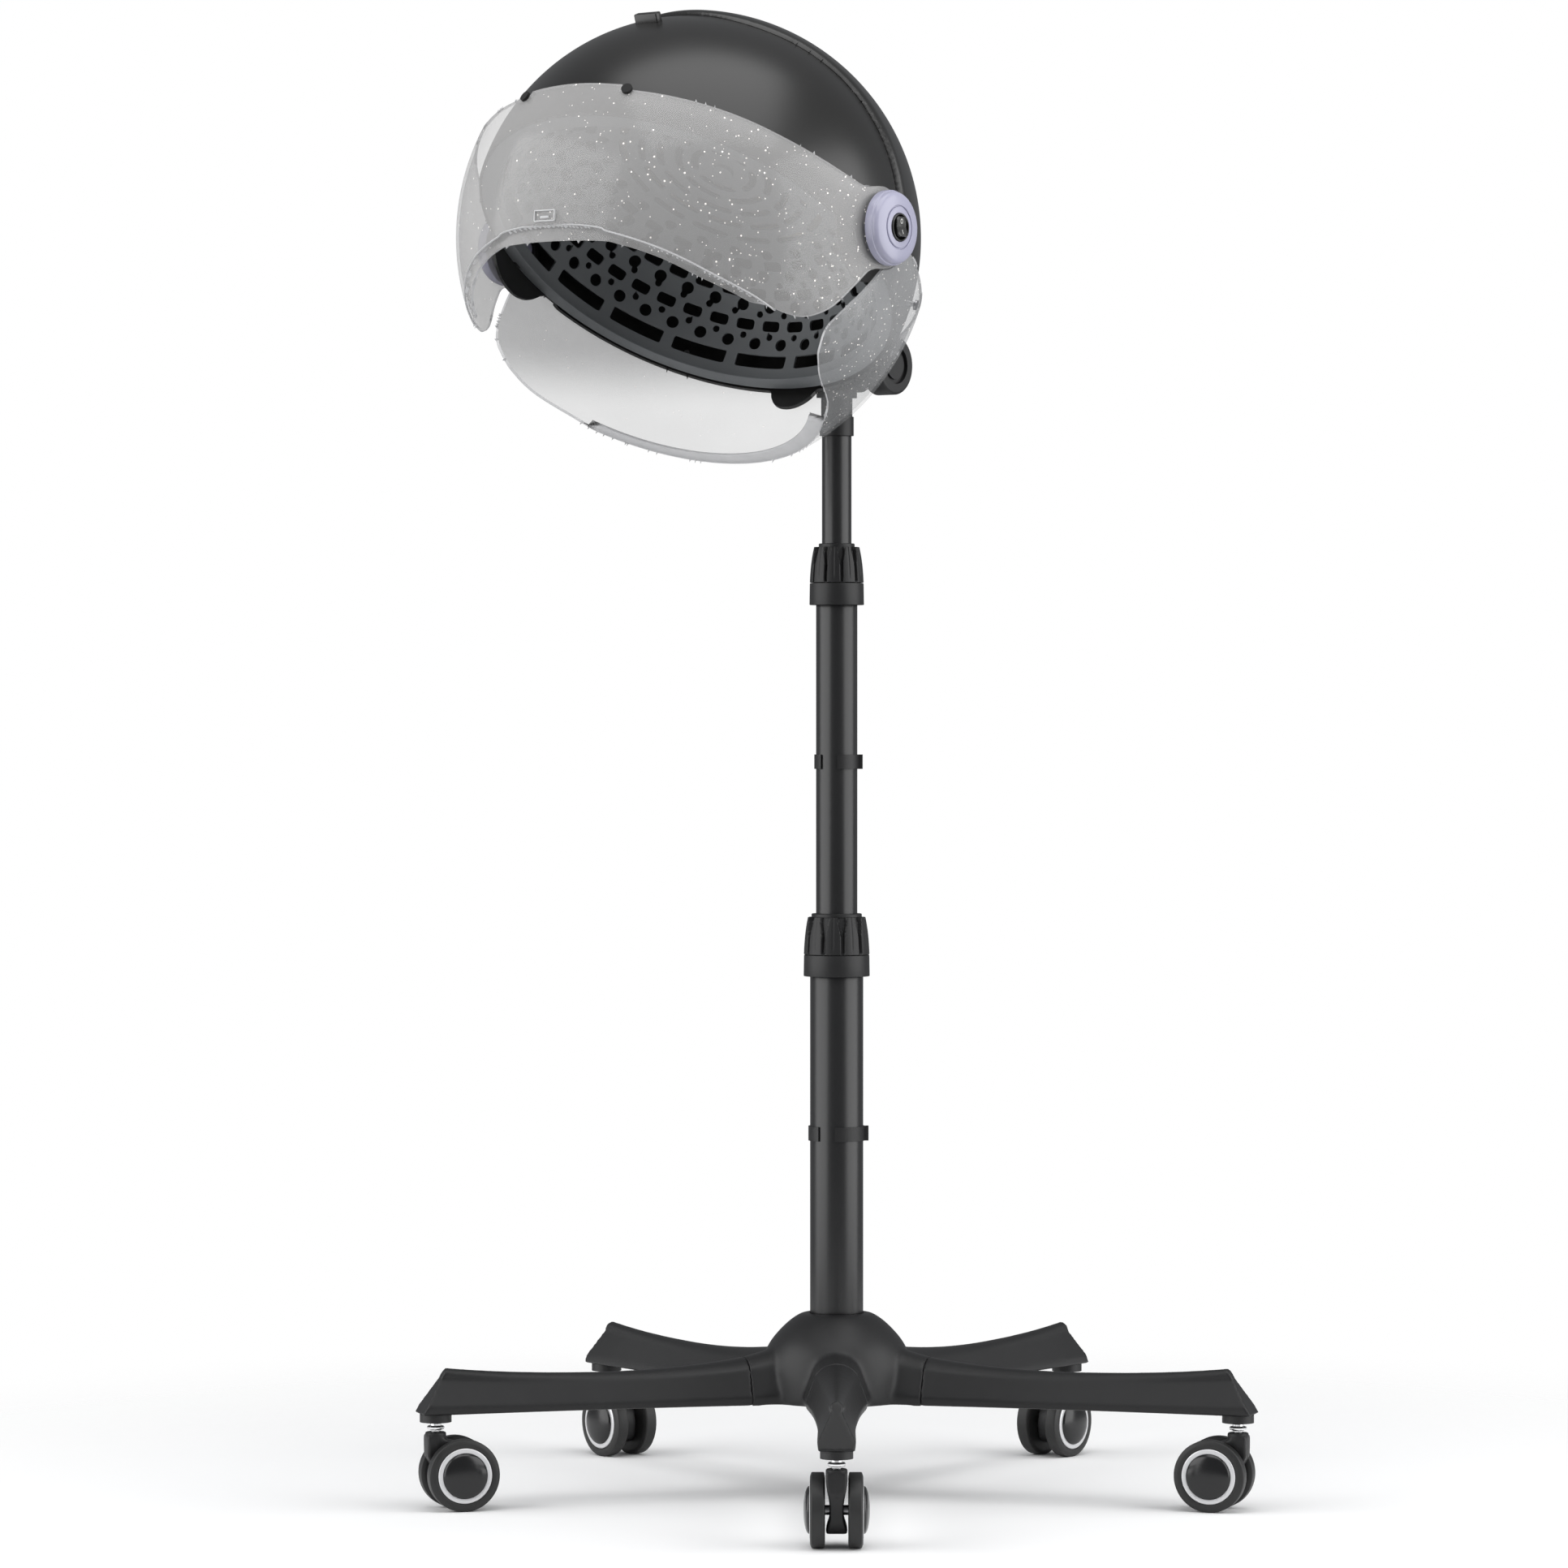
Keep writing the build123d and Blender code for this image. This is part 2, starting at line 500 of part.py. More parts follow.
def make_heater_frame():
    """Mica ring of two bands joined by posts, round the impeller."""
    frame = tube(HEATER_R + 7, HEATER_R - 7, 77, 79) + tube(HEATER_R + 7, HEATER_R - 7, 112, 114)
    for n in range(12):
        frame += Rot(0, 0, n * 30) * Pos(HEATER_R, 0, 95.5) * Box(12, 1.5, 36)
    return hood_place(RIM_TILT) * frame


def make_heater_coil():
    """Three turns of resistance wire, drawn as rings seated on the posts."""
    return [hood_place(RIM_TILT, height) * Torus(HEATER_R + 8.6, 2.4) for height in (86, 95, 104)]


def make_ioniser():
    """Ioniser module with its two emitter needles."""
    box = Pos(0, -118, 84) * Box(38, 20, 16)
    for x in (-9, 9):
        box += Pos(x, -118, 74) * Cylinder(0.9, 8)
    return hood_place(RIM_TILT) * box


def make_rear_knob(side):
    """Turned control knob with a grip bar on a stub shaft."""
    knob = cylinder_between(19, REAR_R + 4.4, REAR_R + 12, "Y") + cylinder_between(4.1, 178, REAR_R + 5, "Y")
    knob += Pos(0, REAR_R + 15, 0) * Box(7, 10, 34)
    return at_hood(knob_turn(side) * knob)


def stud_turn(side):
    """Rotation that carries -Y to the axis of a visor stud."""
    return Rot(-STUD_ALPHA, 0, 0) * Rot(0, 0, side * STUD_SPREAD)


def make_studs():
    """Two button-head studs near the visor's upper edge."""
    stud = cylinder_between(STUD_R, -VISOR_OUT - 0.5, -188.6, "Y")
    stud += cylinder_between(4.5, -196.4, -VISOR_OUT - 0.05, "Y")
    return [at_hood(stud_turn(side) * stud) for side in (-1, 1)]


# ---- one file for each node ----

def make_stand():
    export("base_hub", make_hub())
    export("legs", *around(make_leg()))
    export("leg_bolts", *around(make_leg_bolt()))
    export("caster_sockets", *around(make_socket()))
    export("caster_stems", *around(make_stem()))
    export("lower_tube", tube(LOWER_TUBE_R, LOWER_BORE_R, *LOWER_TUBE_Z))
    export("lower_collar", make_collar(LOWER_COLLAR, LOWER_TUBE_R, MIDDLE_TUBE_R))
    export("lower_lock_nut", make_nut(LOWER_NUT, LOWER_COLLAR, MIDDLE_TUBE_R))
    export("lower_cord_clip", make_clip(LOWER_TUBE_R, LOWER_CLIP_Z))


def make_casters():
    for number, angle in enumerate(leg_angles(), start=1):
        place = Rot(0, 0, angle) * Pos(STEM_RADIUS, 0, 0)
        export(f"caster_{number}_fork", place * make_fork())
        export(f"caster_{number}_axle", place * make_axle())
        export(f"caster_{number}_wheel_left", place * make_wheel(1))
        export(f"caster_{number}_wheel_right", place * make_wheel(-1))


def make_column():
    export("middle_tube", tube(MIDDLE_TUBE_R, MIDDLE_BORE_R, *MIDDLE_TUBE_Z))
    export("middle_tube_glide", make_glide(LOWER_BORE_R - RUNNING, MIDDLE_TUBE_R, MIDDLE_TUBE_Z[0]))
    export("upper_collar", make_collar(UPPER_COLLAR, MIDDLE_TUBE_R, UPPER_TUBE_R))
    export("upper_lock_nut", make_nut(UPPER_NUT, UPPER_COLLAR, UPPER_TUBE_R))
    export("middle_cord_clip", make_clip(MIDDLE_TUBE_R, MIDDLE_CLIP_Z))
    export("upper_tube", tube(UPPER_TUBE_R, UPPER_BORE_R, *UPPER_TUBE_Z))
    export("upper_tube_glide", make_glide(MIDDLE_BORE_R - RUNNING, UPPER_TUBE_R, UPPER_TUBE_Z[0]))
    export("tilt_head", make_tilt_head())
    export("tilt_bolt", make_tilt_bolt())
    export("tilt_knob", make_tilt_knob())


def make_hood():
    export("hood_bracket", make_bracket())
    export("front_shell", make_front_shell())
    export("rear_shell", make_rear_shell())
    export("intake_grille", make_grille())
    export("cord_gland", make_gland())
    export("inner_basket", make_basket())
    export("front_visor", make_front_visor())
    export("visor_studs", *make_studs())
    export("rear_visor", make_rear_visor())
    export("hood_screws", *make_hood_screws())
    export("right_hub", at_hood(make_hub_cap(True)))
    export("left_hub", at_hood(Rot(0, 0, 180) * make_hub_cap(False)))
    export("switch_body", at_hood(make_switch_body()))
    export("switch_rocker", at_hood(make_rocker()))
    export("timer_knob", make_rear_knob(-1))
    export("heat_knob", make_rear_knob(1))


def make_blower():
    export("fan_motor", make_motor())
    export("fan_impeller", make_impeller())
    export("heater_frame", make_heater_frame())
    export("heater_coil", *make_heater_coil())
    export("ioniser", make_ioniser())


os.makedirs("parts", exist_ok=True)
make_stand()
make_casters()
make_column()
make_hood()
make_blower()
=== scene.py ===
"""Looks of a hood hair dryer on a rolling stand, built piece by piece round its CAD frame."""
import math

import bmesh
import bpy
import numpy as np
from mathutils import Matrix, Vector


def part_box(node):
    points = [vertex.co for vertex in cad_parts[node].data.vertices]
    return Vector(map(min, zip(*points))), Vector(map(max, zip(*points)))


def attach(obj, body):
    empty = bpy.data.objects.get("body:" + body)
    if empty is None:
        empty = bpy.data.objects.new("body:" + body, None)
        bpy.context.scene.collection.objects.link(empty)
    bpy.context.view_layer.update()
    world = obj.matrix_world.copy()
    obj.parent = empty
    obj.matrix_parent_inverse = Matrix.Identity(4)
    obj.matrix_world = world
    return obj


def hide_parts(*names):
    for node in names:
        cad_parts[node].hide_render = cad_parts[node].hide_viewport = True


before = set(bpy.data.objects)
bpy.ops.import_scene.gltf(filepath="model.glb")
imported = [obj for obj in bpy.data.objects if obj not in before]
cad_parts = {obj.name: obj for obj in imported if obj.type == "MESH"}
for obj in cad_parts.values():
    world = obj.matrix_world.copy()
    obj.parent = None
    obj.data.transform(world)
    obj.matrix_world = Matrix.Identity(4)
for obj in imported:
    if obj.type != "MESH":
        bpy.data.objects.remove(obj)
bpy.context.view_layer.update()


# ---- Camera ----
# Level with the caster end of a person's view: low, about five metres off, on a long lens.
# The dryer stands a little left of the lens axis and its hood looks out to the left.

CAMERA_AT = (3.0247, -4.1632, 0.670)
CAMERA_TOWARDS = (-0.0361, -0.0262, 0.6016)
lens = bpy.data.cameras.new("camera")
lens.lens = 139.6
lens.clip_end = 60
camera = bpy.data.objects.new("camera", lens)
camera.location = CAMERA_AT
camera.rotation_euler = (Vector(CAMERA_TOWARDS) - Vector(CAMERA_AT)).to_track_quat("-Z", "Y").to_euler()
bpy.context.scene.collection.objects.link(camera)
bpy.context.scene.camera = camera


# ---- Studio ----
# A plain white floor in a white room, with two tall soft boxes beside the camera and one overhead.
# The boxes draw the two pale bands down every black tube.

class Field:
    """A shader value. Arithmetic on it adds Math nodes to the finish that it belongs to."""

    def __init__(self, finish, socket):
        self.finish, self.socket = finish, socket

    def _maths(self, operation, *values):
        return self.finish.node("ShaderNodeMath", {"operation": operation}, values)

    def __add__(self, other):
        return self._maths("ADD", self, other)

    def __radd__(self, other):
        return self._maths("ADD", other, self)

    def __sub__(self, other):
        return self._maths("SUBTRACT", self, other)

    def __rsub__(self, other):
        return self._maths("SUBTRACT", other, self)

    def __mul__(self, other):
        return self._maths("MULTIPLY", self, other)

    def __rmul__(self, other):
        return self._maths("MULTIPLY", other, self)

    def __lt__(self, other):
        return self._maths("LESS_THAN", self, other)

    def clipped(self):
        return self.finish.node("ShaderNodeClamp", {}, [self])


class Finish:
    """One material: a Principled shader and the nodes that vary it over a surface."""

    def __init__(self, name, colour, **constants):
        self.material = bpy.data.materials.new(name)
        self.material.use_nodes = True
        self.tree = self.material.node_tree
        self.shader = self.tree.nodes["Principled BSDF"]
        self.shader.inputs["Base Color"].default_value = (*colour, 1.0)
        for socket, value in constants.items():
            self.shader.inputs[socket.replace("_", " ").title().replace("Ior", "IOR")].default_value = value
        self.place = self.node("ShaderNodeTexCoord", {}, [], out="Object")

    def node(self, kind, settings, values=(), out=0, **named):
        """Add a node: its settings first, then its sockets' values or links."""
        made = self.tree.nodes.new(kind)
        for key, value in settings.items():
            setattr(made, key, value)
        for key, value in list(enumerate(values)) + list(named.items()):
            self._feed(made.inputs[key], value)
        return Field(self, made.outputs[out])

    def _feed(self, socket, value):
        if isinstance(value, Field):
            self.tree.links.new(value.socket, socket)
        elif value is not None:
            socket.default_value = value

    def feed(self, name, value):
        self._feed(self.shader.inputs[name], value)

    def noise(self, scale, detail=2.0):
        return self.node("ShaderNodeTexNoise", {}, [], Vector=self.place, Scale=scale, Detail=detail)

    def blend(self, amount, first, second):
        """Colour mix of two colours or fields."""
        first = first if isinstance(first, Field) else (*first, 1.0)
        second = second if isinstance(second, Field) else (*second, 1.0)
        mix = self.tree.nodes.new("ShaderNodeMix")
        mix.data_type = "RGBA"
        self._feed(mix.inputs["Factor"], amount)
        self._feed(mix.inputs[6], first)
        self._feed(mix.inputs[7], second)
        return Field(self, mix.outputs[2])

    def bump(self, height, strength, distance=0.001):
        self.feed("Normal", self.node("ShaderNodeBump", {}, [], Strength=strength, Distance=distance,
                                      Height=height))

    def cover(self, *objects):
        for piece in objects:
            piece.data.materials.clear()
            piece.data.materials.append(self.material)


def linked(name, mesh):
    """New object for a mesh, in the scene."""
    piece = bpy.data.objects.new(name, mesh)
    bpy.context.scene.collection.objects.link(piece)
    return piece


FLOOR_HALF, FLOOR_FADE = 2.0, (0.45, 1.25)      # half width, radii between which it fades out
floor_mesh = bpy.data.meshes.new("floor")
floor_mesh.from_pydata([(-FLOOR_HALF, -FLOOR_HALF, 0), (FLOOR_HALF, -FLOOR_HALF, 0),
                        (FLOOR_HALF, FLOOR_HALF, 0), (-FLOOR_HALF, FLOOR_HALF, 0)], [], [(0, 1, 2, 3)])
floor = linked("floor", floor_mesh)
floor_paint = Finish("floor_paint", (0.92, 0.92, 0.92), roughness=0.8, specular_ior_level=0.15)
spread = floor_paint.node("ShaderNodeVectorMath", {"operation": "LENGTH"}, [floor_paint.place], out="Value")
floor_paint.feed("Alpha", floor_paint.node("ShaderNodeMapRange", {"interpolation_type": "SMOOTHSTEP"},
                                           [spread, *FLOOR_FADE, 1.0, 0.0]))
floor_paint.cover(floor)

room = bpy.data.worlds.new("room")
room.use_nodes = True
bpy.context.scene.world = room
seen = room.node_tree.nodes["Background"]
seen.inputs["Color"].default_value = (1, 1, 1, 1)
seen.inputs["Strength"].default_value = 1.0
fill = room.node_tree.nodes.new("ShaderNodeBackground")
fill.inputs["Color"].default_value = (0.95, 0.97, 1.0, 1)
fill.inputs["Strength"].default_value = 0.26
ray = room.node_tree.nodes.new("ShaderNodeLightPath")
choice = room.node_tree.nodes.new("ShaderNodeMixShader")
room.node_tree.links.new(ray.outputs["Is Camera Ray"], choice.inputs[0])
room.node_tree.links.new(fill.outputs[0], choice.inputs[1])
room.node_tree.links.new(seen.outputs[0], choice.inputs[2])
room.node_tree.links.new(choice.outputs[0], room.node_tree.nodes["World Output"].inputs["Surface"])
bpy.context.scene.view_settings.view_transform = "Standard"


def soft_box(name, azimuth, distance, height, size, power, towards=0.7):
    """Rectangular light at a bearing from the column, in degrees from the hood's front."""
    light = bpy.data.lights.new(name, "AREA")
    light.shape, light.size, light.size_y, light.energy = "RECTANGLE", size[0], size[1], power
    lamp = bpy.data.objects.new(name, light)
    bearing = math.radians(azimuth)
    lamp.location = (distance * math.sin(bearing), -distance * math.cos(bearing), height)
    lamp.rotation_euler = (Vector((0, 0, towards)) - lamp.location).to_track_quat("-Z", "Y").to_euler()
    bpy.context.scene.collection.objects.link(lamp)


CAMERA_BEARING = 36.0
soft_box("soft_box_left", CAMERA_BEARING - 71, 2.6, 1.1, (3.3, 3.2), 84)
soft_box("soft_box_right", CAMERA_BEARING + 72, 2.6, 1.1, (3.0, 3.2), 80)
soft_box("soft_box_top", CAMERA_BEARING + 10, 1.0, 3.6, (3.2, 3.2), 78, towards=0.0)


# ---- Base hub ----
# Moulded nylon dome that the legs and the lower tube plug into; a fine satin grain all over.
# The dome runs into its five stubs with large soft fillets, which smoothing a fine remesh gives.

def solid_of(node, name):
    """Free copy of a CAD node's mesh, ready to be worked."""
    return linked(name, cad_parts[node].data.copy())


def baked(piece):
    """Apply a piece's modifiers to its mesh."""
    graph = bpy.context.evaluated_depsgraph_get()
    mesh = bpy.data.meshes.new_from_object(piece.evaluated_get(graph))
    piece.modifiers.clear()
    piece.data = mesh
    return piece


def softened(piece, voxel, rounds, loose=None):
    """Remesh a solid finely and smooth it; loose(point) is 1 where it may move, 0 where it is held."""
    remesh = piece.modifiers.new("remesh", "REMESH")
    remesh.mode, remesh.voxel_size = "VOXEL", voxel
    baked(piece)
    smooth = piece.modifiers.new("smooth", "SMOOTH")
    smooth.factor, smooth.iterations = 0.5, rounds
    if loose:
        group = piece.vertex_groups.new(name="loose")
        for vertex in piece.data.vertices:
            group.add([vertex.index], loose(vertex.co), "REPLACE")
        smooth.vertex_group = "loose"
    baked(piece)
    piece.vertex_groups.clear()
    piece.data.shade_smooth()
    return piece


def settled(piece, finish, body, node=None):
    """Give a piece its finish, its body and, where it takes one's place, its CAD node."""
    finish.cover(piece)
    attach(piece, body)
    if node:
        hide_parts(node)
    return piece


HUB_SEAM_R, HUB_TUBE_R = 0.0795, 0.0245         # where a leg's seam and the tube's socket hold it


def hub_is_loose(point):
    """0 at the seams of the legs and at the tube, 1 between them."""
    reach = math.hypot(point.x, point.y)
    near_seam = min(max((HUB_SEAM_R - reach) / 0.006, 0.0), 1.0)
    near_tube = min(max((reach - HUB_TUBE_R) / 0.004, 0.0), 1.0)
    return near_seam * near_tube


hub = softened(solid_of("base_hub", "base_hub_skin"), 0.0016, 34, hub_is_loose)
nylon = Finish("black_nylon", (0.011, 0.011, 0.0115), roughness=0.42, specular_ior_level=0.36)
grain = nylon.noise(2600.0, 3.0)
drift = nylon.noise(9.0, 2.0)
nylon.feed("Roughness", 0.36 + grain * 0.08 + drift * 0.10)
nylon.feed("Base Color", nylon.blend(drift, (0.008, 0.008, 0.0085), (0.014, 0.014, 0.0145)))
nylon.bump(grain, 0.18, 0.0002)
settled(hub, nylon, "stand", "base_hub")


# ---- Legs ----
# Five moulded nylon legs with a flat underside, leaning sides and a prow cut at the tip.
# Each is screwed to the hub from below and holds a caster socket; the edges are softly broken.

LEG_SEAM_R = 0.0835


def leg_is_loose(point):
    """0 at the seam with the hub, 1 from five millimetres past it."""
    reach = math.hypot(point.x, point.y)
    return min(max((reach - LEG_SEAM_R) / 0.005, 0.0), 1.0)


legs = softened(solid_of("legs", "leg_skins"), 0.0014, 4, leg_is_loose)
settled(legs, nylon, "stand", "legs")
nylon.cover(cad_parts["leg_bolts"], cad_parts["caster_sockets"])


# ---- Column tubes ----
# Three stock steel tubes, 45, 35 and 25 mm, in satin black powder coat with a faint orange peel.
# They slide in each other on acetal glides that stay out of sight.

def lathe(name, profile, steps=96, axis="Z", at=(0, 0, 0), flip=1):
    """Turned piece from (radius, height) points; a run of two equal points makes a crisp edge."""
    mesh = bpy.data.meshes.new(name)
    verts, faces, rings = [], [], len(profile)
    for step in range(steps):
        angle = 2 * math.pi * step / steps
        for radius, height in profile:
            verts.append((radius * math.cos(angle), radius * math.sin(angle), height * flip))
    for step in range(steps):
        for ring in range(rings - 1):
            a, b = step * rings + ring, ((step + 1) % steps) * rings + ring
            faces.append((a, b, b + 1, a + 1))
    mesh.from_pydata(verts, [], faces)
    welded(mesh, 32)
    turn = {"X": Matrix.Rotation(math.pi / 2, 4, "Y"), "Y": Matrix.Rotation(-math.pi / 2, 4, "X"),
            "Z": Matrix.Identity(4)}[axis]
    mesh.transform(Matrix.Translation(at) @ turn)
    return linked(name, mesh)


def crease(work, degrees):
    """Smooth faces with sharp edges where the surface turns by more than some degrees."""
    limit = math.radians(degrees)
    for face in work.faces:
        face.smooth = True
    for edge in work.edges:
        if len(edge.link_faces) == 2 and edge.calc_face_angle(0.0) > limit:
            edge.smooth = False


def welded(mesh, degrees):
    """Join a mesh's coincident corners, turn its faces outwards and crease it."""
    work = bmesh.new()
    work.from_mesh(mesh)
    bmesh.ops.remove_doubles(work, verts=work.verts, dist=1e-7)
    bmesh.ops.recalc_face_normals(work, faces=work.faces)
    crease(work, degrees)
    work.to_mesh(mesh)
    work.free()


def bevelled(points, size=0.0004, steps=2):
    """Round the corners of a closed outline that a turned piece is made from."""
    out, count = [], len(points)
    for here in range(count):
        corner = Vector(points[here])
        before, after = Vector(points[here - 1]), Vector(points[(here + 1) % count])
        if corner.x < 1e-6:
            out.append(tuple(corner))
            continue
        one, two = (before - corner), (after - corner)
        cut = min(size, one.length * 0.45, two.length * 0.45)
        start, end = corner + one.normalized() * cut, corner + two.normalized() * cut
        for step in range(steps + 1):
            t = step / steps
            out.append(tuple((1 - t) ** 2 * start + 2 * t * (1 - t) * corner + t * t * end))
    return out + [out[0]]


powder = Finish("black_powder_coat", (0.016, 0.016, 0.0165), roughness=0.30, specular_ior_level=0.5)
peel = powder.noise(420.0, 2.0)
cloud = powder.noise(14.0, 2.0)
powder.feed("Roughness", 0.25 + peel * 0.07 + cloud * 0.07)
powder.feed("Base Color", powder.blend(cloud, (0.007, 0.007, 0.0075), (0.011, 0.011, 0.0115)))
powder.bump(peel, 0.05, 0.0004)

TUBES = {"lower_tube": ("stand", 0.0225, 0.0205), "middle_tube": ("middle_stage", 0.0175, 0.0155),
         "upper_tube": ("upper_stage", 0.0125, 0.0105)}
for node, (body, outer, inner) in TUBES.items():
    low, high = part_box(node)
    skin = lathe(node + "_skin", bevelled([(inner, low.z), (outer, low.z), (outer, high.z), (inner, high.z)]))
    settled(skin, powder, body, node)

acetal = Finish("white_acetal", (0.72, 0.72, 0.70), roughness=0.45)
acetal.feed("Roughness", 0.40 + acetal.noise(700.0) * 0.12)
acetal.cover(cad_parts["middle_tube_glide"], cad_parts["upper_tube_glide"])


# ---- Collars and lock nuts ----
# A moulded ring closes each tube; the nut above it grips the next tube when it is turned.
# The nut is a ring of long petals, narrower at the top, with a deep groove between each two.

NUT_PETALS = 10


def smoothstep(low, high, value):
    """0 at low, 1 at high, with no corner at either."""
    t = np.clip((value - low) / (high - low), 0.0, 1.0)
    return t * t * (3 - 2 * t)


def grid_piece(name, rows, closed=True):
    """Mesh from equal rows of points; closed joins each row's end to its start."""
    rows = np.asarray(rows, float)
    count, width = rows.shape[:2]
    faces = []
    for r in range(count - 1):
        for c in range(width if closed else width - 1):
            d = (c + 1) % width
            faces.append((r * width + c, r * width + d, (r + 1) * width + d, (r + 1) * width + c))
    mesh = bpy.data.meshes.new(name)
    mesh.from_pydata(rows.reshape(-1, 3).tolist(), [], faces)
    return linked(name, mesh)


def ring_row(radius, around, z):
    """Points at angles round the Z axis; the radius is one number or one for each angle."""
    return np.stack([radius * np.cos(around), radius * np.sin(around), np.full_like(around, z)], 1)


def lock_nut(name, foot_r, head_r, lip_r, bore_r, low, high):
    """Petalled nut: each row is a ring whose radius dips at the grooves."""
    around = np.linspace(0, 2 * np.pi, NUT_PETALS * 28, endpoint=False)
    beat = np.abs((around * NUT_PETALS / (2 * np.pi) + 0.69) % 1.0 - 0.5) * 2      # 1 at a petal's middle
    shoulder = high - 0.0030
    rows = [ring_row(bore_r, around, low)]
    heights = np.concatenate([[low, low + 0.0004], np.linspace(low + 0.0008, shoulder, 26)])
    for z in heights:
        t = (z - low) / (shoulder - low)
        radius = foot_r + (head_r - foot_r) * (0.35 * t + 0.65 * t ** 2.4)
        half = 0.88 - 0.34 * smoothstep(0.45, 1.0, t)
        groove = 1 - smoothstep(1 - half - 0.05, 1 - half + 0.10, beat)
        depth = 0.0030 * smoothstep(0.0, 0.05, t) * (0.8 + 0.5 * t)
        middle = 0.00035 * np.exp(-((1 - beat) / 0.06) ** 2) * smoothstep(0.05, 0.2, t)
        r = radius - depth * groove - middle - (0.0004 if z == low else 0)
        rows.append(ring_row(r, around, z))
    lip = [(lip_r, shoulder + 0.0002), (lip_r, high - 0.0005), (lip_r - 0.0006, high), (bore_r, high)]
    rows += [ring_row(radius, around, z) for radius, z in lip]
    piece = grid_piece(name, rows + [rows[0]])
    welded(piece.data, 38)
    return piece


NUTS = {"lower_lock_nut": ("lower_lock", 0.0278, 0.0244, 0.0213, 0.0180),
        "upper_lock_nut": ("upper_lock", 0.0228, 0.0192, 0.0152, 0.0130)}
for node, (body, foot_r, head_r, lip_r, bore_r) in NUTS.items():
    low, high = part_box(node)
    nut = lock_nut(node + "_skin", foot_r, head_r, lip_r, bore_r, low.z, high.z)
    settled(nut, nylon, body, node)

COLLARS = {"lower_collar": ("stand", 0.0280, 0.0225, 0.01755, 0.439, 0.457),
           "upper_collar": ("middle_stage", 0.0231, 0.0175, 0.01255, 0.753, 0.7715)}
for node, (body, outer, tube_r, bore_r, low, top) in COLLARS.items():
    skin = lathe(node + "_skin", bevelled([(tube_r, low), (outer, low), (outer - 0.0003, top), (bore_r, top),
                                           (bore_r, top - 0.010), (tube_r, top - 0.010)], 0.0006))
    settled(skin, nylon, body, node)
nylon.cover(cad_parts["lower_cord_clip"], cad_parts["middle_cord_clip"])


# ---- Casters ----
# Five twin-wheel casters: a waisted nylon fork, black treads, a satin silver ring on each outer face
# and a bulged gloss cap. The chromed stem has a flange and a neck, and stays in the leg.

LEG_ANGLES = [90 + 72 * n for n in range(5)]
STEM_R, TRAIL, WHEEL_Z = 0.350, 0.020, 0.030
WHEEL_IN, WHEEL_WIDE = 0.009, 0.0122

tread = Finish("wheel_tread", (0.014, 0.014, 0.0145), roughness=0.5, specular_ior_level=0.4)
scuff = tread.noise(60.0, 4.0)
tread.feed("Roughness", 0.36 + scuff * 0.22)
tread.feed("Base Color", tread.blend(scuff, (0.011, 0.011, 0.011), (0.022, 0.022, 0.022)))
tread.bump(tread.noise(1800.0), 0.12, 0.0002)

silver = Finish("silver_ring", (0.66, 0.66, 0.67), metallic=0.55, roughness=0.38)
silver.feed("Roughness", 0.30 + silver.noise(900.0, 3.0) * 0.16)

cap_gloss = Finish("gloss_cap", (0.006, 0.006, 0.0065), roughness=0.22, specular_ior_level=0.5)
cap_gloss.feed("Roughness", 0.17 + cap_gloss.noise(35.0, 3.0) * 0.10)

chrome = Finish("chrome_plate", (0.78, 0.78, 0.79), metallic=1.0, roughness=0.12)
chrome.feed("Roughness", 0.08 + chrome.noise(500.0) * 0.08)

zinc = Finish("zinc_plate", (0.45, 0.45, 0.46), metallic=1.0, roughness=0.35)
zinc.feed("Roughness", 0.28 + zinc.noise(800.0) * 0.18)
zinc.cover(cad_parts["tilt_bolt"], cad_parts["hood_screws"])


def lay_at_caster(piece, angle):
    """Carry a piece from the caster's own frame, stem on Z and trail towards -X, to its leg."""
    piece.data.transform(Matrix.Rotation(math.radians(angle), 4, "Z") @ Matrix.Translation((STEM_R, 0, 0)))
    return piece


def wheel_parts(side, name):
    """Tread, silver ring and cap of one wheel; side is +1 or -1 along the axle."""
    a, b = WHEEL_IN, WHEEL_IN + WHEEL_WIDE
    outlines = {
        "tread": bevelled([(0.0041, a + 0.0002), (0.0265, a + 0.0002), (0.0300, a + 0.0010),
                           (0.0300, b - 0.0012), (0.0266, b), (0.0236, b), (0.0230, b - 0.0012),
                           (0.0041, b - 0.0012)], 0.0008, 3),
        "ring": bevelled([(0.0190, b - 0.0011), (0.0230, b - 0.0011), (0.0230, b - 0.0002),
                          (0.0222, b + 0.0004), (0.0190, b + 0.0004)], 0.0003),
        "cap": [(0.0, b + 0.0052)] + [(0.0190 * math.sin(t), b + 0.0002 + 0.0050 * math.cos(t) ** 0.9)
                                      for t in np.linspace(0.08, math.pi / 2, 16)]
               + [(0.0190, b - 0.0010), (0.0, b - 0.0010)]}
    return {part: lathe(f"{name}_{part}", outline, 80, "Y", (-TRAIL, 0, WHEEL_Z), side)
            for part, outline in outlines.items()}


def waisted(point):
    """Pinch the fork across the axle between its neck and its foot."""
    z = point.z
    pinch = 0.34 * float(smoothstep(0.058, 0.034, z) * smoothstep(0.014, 0.026, z))
    return Vector((point.x, point.y * (1 - pinch), z))


fork_master = solid_of("caster_1_fork", "fork_master")
fork_master.data.transform(Matrix.Translation((-STEM_R, 0, 0)) @ Matrix.Rotation(math.radians(-90), 4, "Z"))
softened(fork_master, 0.0011, 6)
for vertex in fork_master.data.vertices:
    vertex.co = waisted(vertex.co)

